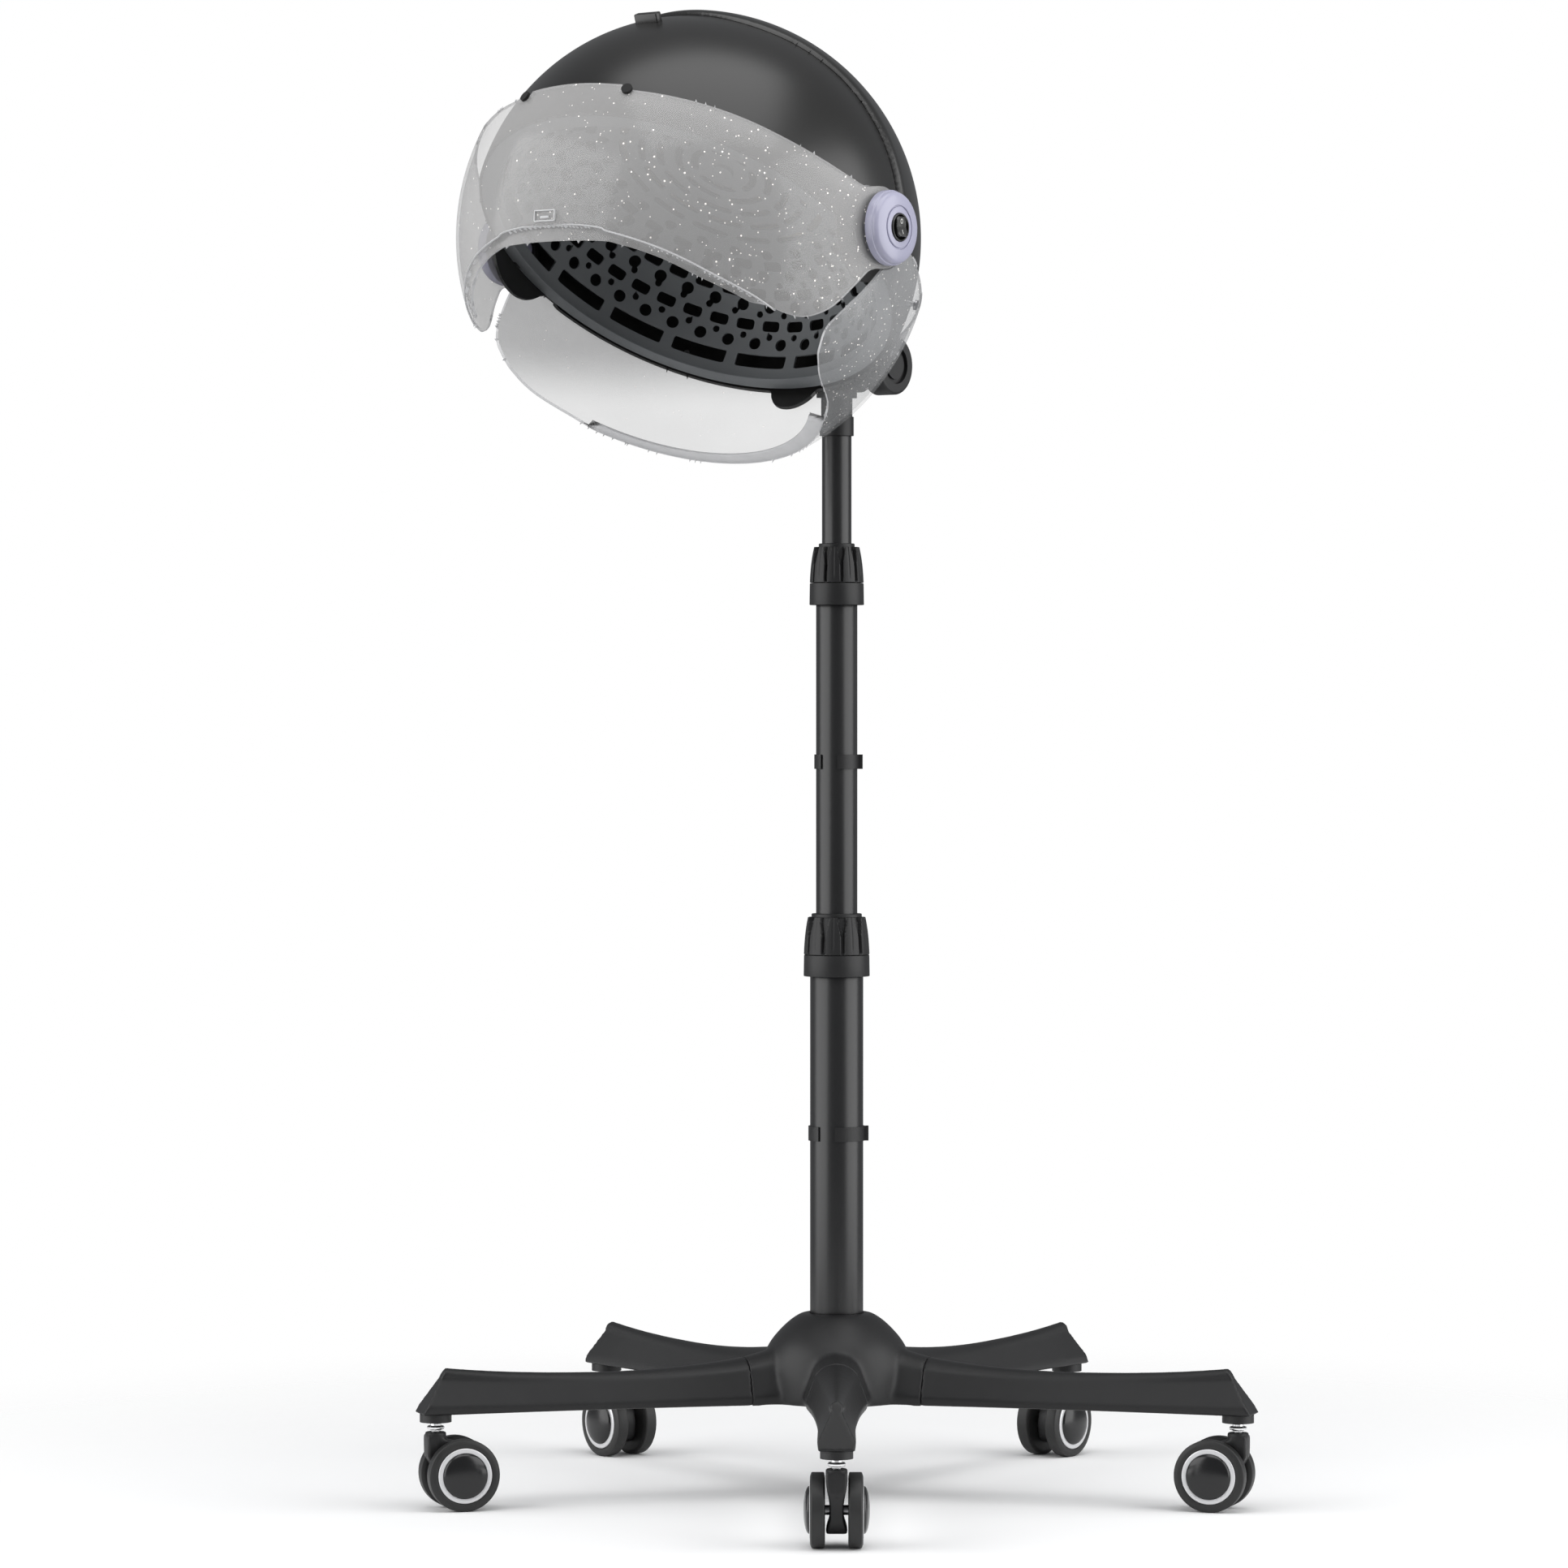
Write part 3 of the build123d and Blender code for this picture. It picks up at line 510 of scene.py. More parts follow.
STEM_OUTLINE = [(0.0, 0.0465), (0.0040, 0.0465), (0.0040, 0.0640), (0.0042, 0.0668), (0.0068, 0.0676),
                (0.0073, 0.0684), (0.0073, 0.0694), (0.0066, 0.0703), (0.0048, 0.0708), (0.0048, 0.0722),
                (0.0055, 0.0730), (0.0055, 0.0798), (0.0, 0.0798)]
for number, angle in enumerate(LEG_ANGLES, start=1):
    fork = lay_at_caster(linked(f"caster_{number}_fork_skin", fork_master.data.copy()), angle)
    settled(fork, nylon, f"caster_{number}", f"caster_{number}_fork")
    zinc.cover(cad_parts[f"caster_{number}_axle"])
    for side, word in ((1, "left"), (-1, "right")):
        node = f"caster_{number}_wheel_{word}"
        parts = wheel_parts(side, node)
        for part, finish in (("tread", tread), ("ring", silver), ("cap", cap_gloss)):
            settled(lay_at_caster(parts[part], angle), finish, node)
        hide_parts(node)
    stem = lay_at_caster(lathe(f"caster_{number}_stem", STEM_OUTLINE, 48), angle)
    settled(stem, chrome, "stand")
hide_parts("caster_stems")
bpy.data.objects.remove(fork_master)


# ---- Dome ----
# Two satin-gloss black mouldings: the front shell with its pivot ears, and the proud rear shell
# that meets it along a seam over the top. Both are 3 mm sheet, trimmed from one sphere.

HOOD = Vector((0.0, -0.200, 1.050))
DOME_R, REAR_R, VISOR_R = 0.1820, 0.1865, 0.1940
RIM_TILT, RIM_DROP = math.radians(35), 0.017
EYE_R = 0.0325


def spline_outline(points, steps=5, closed=True):
    """Dense smooth outline through a few points (Catmull-Rom), as an array."""
    p = np.asarray(points, float)
    count, out = len(p), []
    for k in range(count if closed else count - 1):
        a, b, c, d = p[k - 1], p[k], p[(k + 1) % count], p[(k + 2) % count]
        if not closed:
            a = p[max(k - 1, 0)]
            d = p[min(k + 2, count - 1)]
        for t in np.arange(steps) / steps:
            out.append(0.5 * (2 * b + (c - a) * t + (2 * a - 5 * b + 4 * c - d) * t ** 2
                              + (3 * b - a - 3 * c + d) * t ** 3))
    return np.array(out if closed else out + [p[-1]])


def outline_distance(points, outline):
    """Signed distance of 2-D points from a closed outline, negative inside."""
    start, end = outline, np.roll(outline, -1, 0)
    edge = end - start
    best = np.full(len(points), 1e9)
    inside = np.zeros(len(points), bool)
    for s, e, d in zip(start, end, edge):
        w = points - s
        t = np.clip((w @ d) / max(d @ d, 1e-18), 0, 1)
        best = np.minimum(best, np.hypot(*(w - t[:, None] * d).T))
        crosses = (s[1] > points[:, 1]) != (e[1] > points[:, 1])
        if e[1] != s[1]:
            at = s[0] + (points[:, 1] - s[1]) * d[0] / d[1]
            inside ^= crosses & (points[:, 0] < at)
    return np.where(inside, -best, best)


def soft_min(a, b, width):
    """Union of two regions with a fillet of about the given width."""
    h = np.clip(0.5 + 0.5 * (b - a) / width, 0, 1)
    return b * (1 - h) + a * h - width * h * (1 - h)


def rim_height(p):
    """Height of points, given about the hood's centre, along the dome's leaned-back axis."""
    return p[:, 1] * math.sin(RIM_TILT) + p[:, 2] * math.cos(RIM_TILT)


def trimmed_shell(name, radius, wall, region, dip=None, fineness=7):
    """Sheet of a sphere about the hood's centre, trimmed to region(points) < 0. Its border is pulled onto
    the region's edge, the rest is evened out, and dip(points) then lowers the surface locally."""
    work = bmesh.new()
    bmesh.ops.create_icosphere(work, subdivisions=fineness, radius=radius)
    off_grid = Matrix.Rotation(0.37, 3, "X") @ Matrix.Rotation(0.61, 3, "Y")
    bmesh.ops.rotate(work, verts=work.verts, matrix=off_grid)
    work.verts.index_update()
    co = np.array([v.co for v in work.verts])
    faces = np.array([[v.index for v in f.verts] for f in work.faces])
    work.free()
    centre = co[faces].mean(1)
    faces = faces[region(centre) < 0]
    used, flat = np.unique(faces, return_inverse=True)
    co, faces = co[used], flat.reshape(-1, 3)
    edges = np.sort(np.concatenate([faces[:, [0, 1]], faces[:, [1, 2]], faces[:, [2, 0]]]), 1)
    pair, times = np.unique(edges, axis=0, return_counts=True)
    border = np.zeros(len(co), bool)
    border[pair[times == 1].ravel()] = True
    step = 1e-4
    for _ in range(6):
        p = co[border]
        value = region(p)
        slope = np.stack([(region(p + step * axis) - value) / step for axis in np.eye(3)], 1)
        slope -= (slope * p).sum(1)[:, None] * p / radius ** 2
        length = np.maximum((slope ** 2).sum(1), 0.04)
        p = p - np.clip(value / length, -0.002, 0.002)[:, None] * slope
        co[border] = p * (radius / np.linalg.norm(p, axis=1))[:, None]
    neighbours = np.concatenate([pair, pair[:, ::-1]])
    for _ in range(4):
        total, count = np.zeros_like(co), np.zeros(len(co))
        np.add.at(total, neighbours[:, 0], co[neighbours[:, 1]])
        np.add.at(count, neighbours[:, 0], 1)
        relaxed = total / np.maximum(count, 1)[:, None]
        relaxed *= (radius / np.linalg.norm(relaxed, axis=1))[:, None]
        free = ~border
        co[free] = relaxed[free]
    if dip:
        co *= (1 - dip(co) / radius)[:, None]
    mesh = bpy.data.meshes.new(name)
    mesh.from_pydata((co + np.array(HOOD)).tolist(), [], faces.tolist())
    mesh.shade_smooth()
    piece = linked(name, mesh)
    sheet = piece.modifiers.new("wall", "SOLIDIFY")
    sheet.thickness, sheet.offset, sheet.use_even_offset = wall, -1, False
    baked(piece)
    work = bmesh.new()
    work.from_mesh(piece.data)
    crease(work, 50)
    work.to_mesh(piece.data)
    work.free()
    return piece


# Side outlines are (y, z) about the hood's centre; the seam leans back as it comes down.
SEAM = [(-0.030, 0.200), (-0.017, 0.1785), (0.016, 0.150), (0.038, 0.110), (0.044, 0.040), (0.030, -0.080)]
seam_line = spline_outline(SEAM, closed=False)
back_side = np.concatenate([seam_line, [(0.030, -0.230), (0.230, -0.230), (0.230, 0.230), (-0.030, 0.230)]])


def dome_region(p):
    """Above the leaned rim, or in an ear about the hub axis."""
    ear = np.hypot(p[:, 1], p[:, 2]) - 0.043
    ear = np.maximum(ear, 0.120 - np.abs(p[:, 0]))
    return soft_min(-(rim_height(p) + RIM_DROP), ear, 0.006)


def front_region(p):
    """The dome in front of the seam, with the hubs' holes."""
    hole = 0.011 - np.hypot(p[:, 1], p[:, 2])
    return np.maximum.reduce([dome_region(p), -outline_distance(p[:, 1:], back_side), hole])


KNOB_AZIMUTH, KNOB_ELEVATION = math.radians(24), math.radians(22)
GRILLE_LEAN = math.radians(62)


def back_direction(azimuth, elevation):
    """Unit vector to the rear of the hood, azimuth towards +X."""
    return np.array([math.sin(azimuth) * math.cos(elevation), math.cos(azimuth) * math.cos(elevation),
                     math.sin(elevation)])


def off_axis(p, direction):
    """Distance of points from a line through the hood's centre."""
    along = p @ direction
    return np.where(along > 0, np.sqrt(np.maximum((p ** 2).sum(1) - along ** 2, 0)), 1.0)


def rear_region(p):
    """The dome behind the seam, with a lobe for the tilt joint and the hole of the intake grille."""
    lobe = np.maximum(np.hypot(p[:, 0], rim_height(p) + RIM_DROP - 0.005) - 0.024, -p[:, 1])
    behind = np.maximum(-(rim_height(p) + RIM_DROP), outline_distance(p[:, 1:], back_side))
    body = soft_min(behind, lobe, 0.003)
    grille = 0.042 - off_axis(p, back_direction(0, GRILLE_LEAN))
    return np.maximum(body, grille)


def seam_round(p):
    """The rear shell rolls down to the front shell over the eight millimetres behind the seam."""
    far = np.clip(-outline_distance(p[:, 1:], back_side) / 0.009, 0, 1)
    return 0.0042 * (1 - np.sqrt(1 - (1 - far) ** 2))


hood_black = Finish("black_hood_plastic", (0.013, 0.013, 0.014), roughness=0.3, specular_ior_level=0.5)
fine = hood_black.noise(1500.0, 3.0)
haze = hood_black.noise(6.0, 3.0)
hood_black.feed("Roughness", 0.24 + fine * 0.05 + haze * 0.10)
hood_black.feed("Base Color", hood_black.blend(haze, (0.008, 0.008, 0.0082), (0.013, 0.0126, 0.012)))
hood_black.bump(fine, 0.06, 0.0002)

front = trimmed_shell("front_shell_skin", DOME_R, 0.0025, front_region)
rear = trimmed_shell("rear_shell_skin", REAR_R, 0.0030, rear_region, seam_round, 8)
settled(front, hood_black, "hood", "front_shell")
settled(rear, hood_black, "hood", "rear_shell")


def fitted(name, finish, slot, body, *pieces, node=None):
    """Join small pieces into one, and settle it on a body."""
    work = bmesh.new()
    for piece in pieces:
        work.from_mesh(piece.data)
    mesh = bpy.data.meshes.new(name)
    work.to_mesh(mesh)
    work.free()
    for piece in pieces:
        bpy.data.objects.remove(piece)
    return settled(linked(name, mesh), finish, body, node)


def block(name, size, at, turn=Matrix.Identity(4), edge=0.0008):
    """Rectangular block with rounded edges, turned about the hood's centre."""
    work = bmesh.new()
    bmesh.ops.create_cube(work, size=1.0)
    bmesh.ops.scale(work, vec=size, verts=work.verts)
    bmesh.ops.bevel(work, geom=work.edges[:], offset=edge, segments=3, affect="EDGES", profile=0.5)
    crease(work, 40)
    mesh = bpy.data.meshes.new(name)
    work.to_mesh(mesh)
    work.free()
    mesh.transform(Matrix.Translation(HOOD) @ turn @ Matrix.Translation(at))
    return linked(name, mesh)


catch_turn = Matrix.Rotation(math.radians(-71), 4, "X")
catch = block("catch", (0.023, 0.0095, 0.0070), (0, -0.185, 0), catch_turn, 0.0012)
bosses = [lathe("boss", bevelled([(0.0115, 0.176), (0.018, 0.176), (0.018, 0.1900), (0.0115, 0.1900)]),
                64, "X", HOOD, side) for side in (1, -1)]
fitted("dome_catch_and_bosses", hood_black, "black_hood_plastic", "hood", catch, *bosses)


# ---- Rear fittings ----
# The rear shell carries two control knobs on round bosses, the slotted intake cover over the fan,
# and the bushed inlet for the mains lead.

hood_black.cover(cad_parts["intake_grille"])
rubber = Finish("black_rubber", (0.012, 0.012, 0.012), roughness=0.7, specular_ior_level=0.3)
rubber.feed("Roughness", 0.60 + rubber.noise(900.0) * 0.2)
rubber.cover(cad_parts["cord_gland"])


def aim_y(direction):
    """Matrix that carries +Y at the origin to a direction at the hood's centre."""
    return Matrix.Translation(HOOD) @ Vector(direction).to_track_quat("Y", "Z").to_matrix().to_4x4()


def turned_towards(name, profile, direction, steps=64):
    """Turned piece whose axis is a direction through the hood's centre."""
    piece = lathe(name, profile, steps, "Y")
    piece.data.transform(aim_y(direction))
    return piece


BOSS_OUTLINE = bevelled([(0.0046, 0.178), (0.027, 0.178), (0.0268, REAR_R + 0.0036),
                         (0.0046, REAR_R + 0.0036)], 0.0008)
KNOB_OUTLINE = bevelled([(0.0, 0.1905), (0.019, 0.1909), (0.0178, 0.1975), (0.0160, 0.1990),
                         (0.0, 0.1990)], 0.0008)
for node, side in (("timer_knob", -1), ("heat_knob", 1)):
    way = back_direction(side * KNOB_AZIMUTH, KNOB_ELEVATION)
    boss = turned_towards(node + "_boss_part", BOSS_OUTLINE, way)
    fitted(node + "_boss", hood_black, "black_hood_plastic", "hood", boss)
    knob_foot = turned_towards("knob_foot", KNOB_OUTLINE, way)
    bar = block("knob_bar", (0.0070, 0.0100, 0.0330), (0, REAR_R + 0.0149, 0), edge=0.0018)
    mark = block("knob_mark", (0.0012, 0.0006, 0.0110), (0, REAR_R + 0.0199, 0.0095), edge=0.0002)
    for piece in (bar, mark):
        piece.data.transform(Matrix.Translation(-HOOD))
        piece.data.transform(aim_y(way))
    fitted(node + "_skin", hood_black, "black_hood_plastic", node, knob_foot, bar, node=node)
    fitted(node + "_pointer", silver, "black_hood_plastic", node, mark)


# ---- Inner basket ----
# Heat-proof grey liner that hangs inside the dome: a plain band with long slots at its rim,
# then rows of round, small and oblong air holes up to the crown, which has rings of slots.

BASKET = [(0.1655, -0.0170), (0.1650, -0.0100), (0.1615, 0.0050), (0.1540, 0.0240), (0.1420, 0.0420),
          (0.1240, 0.0560), (0.1010, 0.0650), (0.0700, 0.0695), (0.0350, 0.0715), (0.0060, 0.0720)]
SIDE_STEPS, ROW_STEP = 512, 0.0021


def capsule(along, across, half_length, radius):
    """Distance to a slot with round ends."""
    return np.hypot(np.maximum(np.abs(along) - half_length, 0), across) - radius


def brick(along, across, half_length, half_width, corner):
    """Distance to an oblong with rounded corners."""
    a, b = np.abs(along) - half_length + corner, np.abs(across) - half_width + corner
    return np.hypot(np.maximum(a, 0), np.maximum(b, 0)) + np.minimum(np.maximum(a, b), 0) - corner


# row: height above the rim along the sheet, holes in the row, turn in holes, kind
HOLE_ROWS = [(0.0155, 18, 0.0, "slot"), (0.0310, 40, 0.0, "round"), (0.0372, 40, 0.5, "small"),
             (0.0465, 40, 0.5, "oblong"), (0.0560, 40, 0.0, "small"), (0.0625, 36, 0.5, "round"),
             (0.0730, 36, 0.0, "oblong"), (0.0815, 32, 0.0, "small"), (0.0890, 30, 0.5, "round"),
             (0.0990, 26, 0.0, "oblong"), (0.1100, 22, 0.0, "round"),
             (0.1260, 14, 0.0, "arc"), (0.1420, 12, 0.5, "arc"), (0.1580, 9, 0.0, "arc"),
             (0.1740, 6, 0.5, "arc"), (0.1880, 4, 0.0, "arc")]


def hole_distance(turn, up, ring_r):
    """Distance to the nearest air hole; turn in radians, up and ring_r in metres."""
    best = np.full(turn.shape, 1.0)
    for row, count, offset, kind in HOLE_ROWS:
        pitch = 2 * np.pi / count
        away = ((turn / pitch + offset) % 1.0 - 0.5) * pitch * ring_r
        rise = up - row
        if kind == "slot":
            hole = brick(away, rise, 0.0235, 0.0058, 0.0012)
        elif kind == "round":
            hole = np.hypot(away, rise) - 0.0052
        elif kind == "small":
            hole = np.hypot(away, rise) - 0.0029
        elif kind == "oblong":
            hole = brick(away, rise, 0.0080, 0.0045, 0.0028)
        else:
            hole = capsule(away, rise, pitch * ring_r * 0.5 - 0.0068, 0.0032)
        best = np.minimum(best, hole)
    return best


def perforated_bowl(name):
    """Grid over the liner, with the cells inside a hole left out and the hole edges pulled true."""
    profile = spline_outline(BASKET, 12, closed=False)
    run = np.concatenate([[0], np.cumsum(np.hypot(*np.diff(profile, axis=0).T))])
    ups = np.linspace(0, run[-1], int(run[-1] / ROW_STEP))
    turns = np.linspace(0, 2 * np.pi, SIDE_STEPS, endpoint=False)
    turn, up = np.meshgrid(turns, ups)
    turn, up = turn.ravel(), up.ravel()

    def radius_at(u):
        return np.interp(u, run, profile[:, 0])

    quads = []
    for r in range(len(ups) - 1):
        here = r * SIDE_STEPS + np.arange(SIDE_STEPS)
        there = r * SIDE_STEPS + (np.arange(SIDE_STEPS) + 1) % SIDE_STEPS
        quads.append(np.stack([here, there, there + SIDE_STEPS, here + SIDE_STEPS], 1))
    quads = np.concatenate(quads)
    middle_turn = turn[quads[:, 0]] + np.pi / SIDE_STEPS
    middle_up = up[quads].mean(1)
    quads = quads[hole_distance(middle_turn, middle_up, radius_at(middle_up)) > 0]
    edges = np.sort(np.concatenate([quads[:, [a, b]] for a, b in ((0, 1), (1, 2), (2, 3), (3, 0))]), 1)
    pair, times = np.unique(edges, axis=0, return_counts=True)
    border = np.unique(pair[times == 1].ravel())
    border = border[(up[border] > 0.001) & (up[border] < run[-1] - 0.001)]
    step = 1e-4
    for _ in range(4):
        t, u = turn[border], up[border]
        ring = radius_at(u)
        value = hole_distance(t, u, ring)
        slope_t = (hole_distance(t + step / ring, u, ring) - value) / step
        slope_u = (hole_distance(t, u + step, ring) - value) / step
        size = np.maximum(slope_t ** 2 + slope_u ** 2, 0.2)
        move = np.clip(value / size, -0.0011, 0.0011)
        turn[border] = t - move * slope_t / ring
        up[border] = u - move * slope_u
    ring, height = radius_at(up), np.interp(up, run, profile[:, 1])
    points = np.stack([ring * np.sin(turn), -ring * np.cos(turn), height], 1)
    mesh = bpy.data.meshes.new(name)
    mesh.from_pydata(points.tolist(), [], quads.tolist())
    mesh.shade_smooth()
    piece = linked(name, mesh)
    wall = piece.modifiers.new("wall", "SOLIDIFY")
    wall.thickness, wall.offset = 0.0022, 1
    return baked(piece)


lean = Matrix.Translation(HOOD) @ Matrix.Rotation(-RIM_TILT, 4, "X")
bowl = perforated_bowl("bowl")
loose = bmesh.new()
loose.from_mesh(bowl.data)
bmesh.ops.delete(loose, geom=[v for v in loose.verts if not v.link_faces], context="VERTS")
crease(loose, 50)
loose.to_mesh(bowl.data)
loose.free()
flange = lathe("flange", bevelled([(0.1655, -0.0175), (0.1786, -0.0175), (0.1786, -0.0150),
                                   (0.1655, -0.0150)], 0.0005), 160)
crown_cap = lathe("crown_cap", bevelled([(0.0, 0.0690), (0.0085, 0.0690), (0.0085, 0.0735),
                                         (0.0, 0.0735)], 0.0008), 48)
for piece in (bowl, flange, crown_cap):
    piece.data.transform(lean)
liner = Finish("grey_liner", (0.10, 0.105, 0.108), roughness=0.5, specular_ior_level=0.4)
mould = liner.noise(900.0, 3.0)
stain = liner.noise(12.0, 3.0)
liner.feed("Roughness", 0.42 + mould * 0.12 + stain * 0.08)
liner.feed("Base Color", liner.blend(stain, (0.115, 0.122, 0.127), (0.160, 0.168, 0.174)))
liner.bump(mould, 0.12, 0.0002)
fitted("inner_basket_skin", liner, "grey_liner", "hood", bowl, flange, crown_cap, node="inner_basket")


# ---- Blower and heater ----
# Behind the liner: a lacquered motor with a nylon impeller on its shaft, inside a mica ring
# that carries the heating wire, and the small ioniser module in front of them.

lacquer = Finish("motor_lacquer", (0.06, 0.06, 0.065), roughness=0.4)
lacquer.feed("Roughness", 0.34 + lacquer.noise(300.0) * 0.14)
lacquer.cover(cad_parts["fan_motor"])
mica = Finish("mica_board", (0.42, 0.37, 0.27), roughness=0.55)
mica.feed("Base Color", mica.blend(mica.noise(90.0, 4.0), (0.32, 0.28, 0.20), (0.55, 0.49, 0.36)))
mica.cover(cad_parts["heater_frame"])
wire = Finish("resistance_wire", (0.30, 0.27, 0.24), metallic=1.0, roughness=0.4)
wire.feed("Roughness", 0.35 + wire.noise(600.0) * 0.2)
wire.cover(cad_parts["heater_coil"])
nylon.cover(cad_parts["fan_impeller"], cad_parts["ioniser"])


# ---- Visors ----
# Smoked clear polycarbonate with fine white glitter cast in. The front visor wraps the brow from hub
# to hub and flips up; the rear visor is fixed and hangs round the sides and the neck.

FRONT_TOP = [(-0.1640, 0.1150), (-0.1550, 0.1080), (-0.1438, 0.1018), (-0.1309, 0.0945),
             (-0.1120, 0.0830), (-0.0878, 0.0672), (-0.0655, 0.0538), (-0.0382, 0.0389),
             (-0.0200, 0.0310), (0.0, 0.0270)]
FRONT_LOBE = [(0.0, -0.0220), (-0.0120, -0.0290), (-0.0315, -0.0480), (-0.0503, -0.0661), (-0.0700, -0.0735),
              (-0.0868, -0.0712), (-0.1003, -0.0662)]
LIP_EDGE = [(-0.1120, -0.0645), (-0.1226, -0.0590), (-0.1473, -0.0445), (-0.1665, -0.0300),
            (-0.1819, -0.0185), (-0.1876, -0.0150), (-0.2050, -0.0120)]
LIP_CREASE = [(-0.0950, -0.0690), (-0.1120, -0.0585), (-0.1397, -0.0420), (-0.1673, -0.0216),
              (-0.1840, -0.0085), (-0.1882, -0.0035), (-0.2050, 0.0060)]
front_outline = np.concatenate([spline_outline([(-0.2050, 0.1420)] + FRONT_TOP, closed=False),
                                spline_outline(FRONT_LOBE + LIP_EDGE, closed=False)])
crease_line = spline_outline(LIP_CREASE, closed=False)
above_crease = np.concatenate([crease_line, [(-0.2050, 0.1500), (0.0, 0.1500), (0.0, -0.0690)]])


def front_visor_region(p):
    """The side outline with a raised tab at the middle of its top edge, and an eye round each hub."""
    side = p[:, 1:].copy()
    tab = 1 - smoothstep(0.0455, 0.0475, np.abs(p[:, 0]))
    side[:, 1] -= 0.0050 * tab * smoothstep(0.080, 0.100, p[:, 2])
    body = outline_distance(side, front_outline)
    eye = np.hypot(p[:, 1], p[:, 2]) - EYE_R
    hole = 0.0121 - np.hypot(p[:, 1], p[:, 2])
    return np.maximum.reduce([soft_min(body, eye, 0.012), hole])


def lip_dip(p):
    """The lip below the crease steps in by four millimetres."""
    below = smoothstep(0.0, 0.0034, outline_distance(p[:, 1:], above_crease))
    return 0.0040 * below * smoothstep(-0.09, -0.11, p[:, 1])


def smoked(name, clear, tint, glitter):
    """Smoked plastic: each face of the sheet passes a share of the light, from clear[0] low on the hood
    to clear[1] at the level of its hubs. Its white glitter is packed towards the switch side as a painted
    glint, where the light catches it, and the flecks glow as a painted glint too."""
    paint = Finish(name, tint, roughness=0.14, specular_ior_level=0.45)
    drift = paint.noise(11.0, 2.0)
    across = paint.node("ShaderNodeSeparateXYZ", {}, [paint.place])
    height = Field(paint, across.socket.node.outputs[2])
    passing = paint.node("ShaderNodeMapRange", {"interpolation_type": "SMOOTHSTEP"},
                         [height, HOOD.z - 0.135, HOOD.z - 0.075, *clear])
    # Fleck density: random clumps, plus a painted glint bias that packs the flecks towards +X, where the
    # light catches the glitter.
    clumps_and_lit_side = (paint.noise(13.0, 2.0) - 0.42) * 2.6 + across * 3.0
    cells = paint.node("ShaderNodeTexVoronoi", {}, [], Vector=paint.place, Scale=400.0)
    tag = paint.node("ShaderNodeSeparateColor", {}, [Field(paint, cells.socket.node.outputs["Color"])])
    size = Field(paint, tag.socket.node.outputs[1])
    flecks_and_glints = (cells < 0.12 + size * 0.20) * (tag < glitter * (0.12 * clumps_and_lit_side.clipped() + 0.015))
    plastic = paint.blend(drift, tint, tuple(c * 0.86 for c in tint))
    paint.feed("Base Color", paint.blend(flecks_and_glints, plastic, (1.0, 0.96, 0.92)))
    # Painted glint: the flecks glow warm white through emission, though nothing lights them from within.
    paint.feed("Emission Color", paint.blend(flecks_and_glints, (0, 0, 0), (1.0, 0.94, 0.88)))
    paint.shader.inputs["Emission Strength"].default_value = 0.55
    paint.feed("Roughness", 0.10 + drift * 0.10)
    paint.feed("Alpha", (0.97 - passing + drift * 0.06 + flecks_and_glints * 0.45).clipped())
    return paint


def bead(name, line, radius, sides=8):
    """Thin rolled edge along a line of points about the hood's centre."""
    along = np.gradient(line, axis=0)
    along /= np.linalg.norm(along, axis=1)[:, None]
    out = line / np.linalg.norm(line, axis=1)[:, None]
    side = np.cross(along, out)
    turns = np.linspace(0, 2 * np.pi, sides, endpoint=False)
    rows = [line + radius * (math.cos(t) * out + math.sin(t) * side) for t in turns]
    piece = grid_piece(name, np.stack(rows + rows[:1]) + np.array(HOOD), closed=False)
    piece.data.shade_smooth()
    return piece


def over_front(outline, radius):
    """Side-view line laid on a sphere from one side of the hood over the front to the other."""
    reach = np.sqrt(np.maximum(radius ** 2 - (outline ** 2).sum(1), 0))
    half = np.stack([reach, outline[:, 0], outline[:, 1]], 1)[(outline ** 2).sum(1) < radius ** 2]
    return np.concatenate([half, half[::-1] * [-1, 1, 1]])


def edged(piece):
    """Give a trimmed sheet a painted highlight along its cut edge: the wall's rim faces, the ones along no
    sphere, take the pale grey.
    """
    piece.data.materials.append(edge_highlight.material)
    centre = np.array(HOOD)
    for face in piece.data.polygons:
        outward = Vector(np.array(face.center) - centre).normalized()
        face.material_index = int(abs(face.normal.dot(outward)) < 0.6)


# Painted highlight: a pale, partly see-through grey on the visors' cut edges, the lip's crease bead and the
# skirt's lip, standing in for the light that catches those edges; the latch frame and tongue take the same
# grey.
edge_highlight = Finish("visor_edge_highlight", (0.60, 0.60, 0.61), roughness=0.2)
edge_highlight.feed("Roughness", 0.15 + edge_highlight.noise(200.0) * 0.12)
edge_highlight.feed("Alpha", 0.70 + edge_highlight.noise(60.0) * 0.2)
visor_plastic = smoked("smoked_glitter", (0.60, 0.60), (0.55, 0.545, 0.54), 1.0)
visor = trimmed_shell("front_visor_skin", VISOR_R, 0.0024, front_visor_region, lip_dip, 8)
settled(visor, visor_plastic, "visor", "front_visor")
edged(visor)

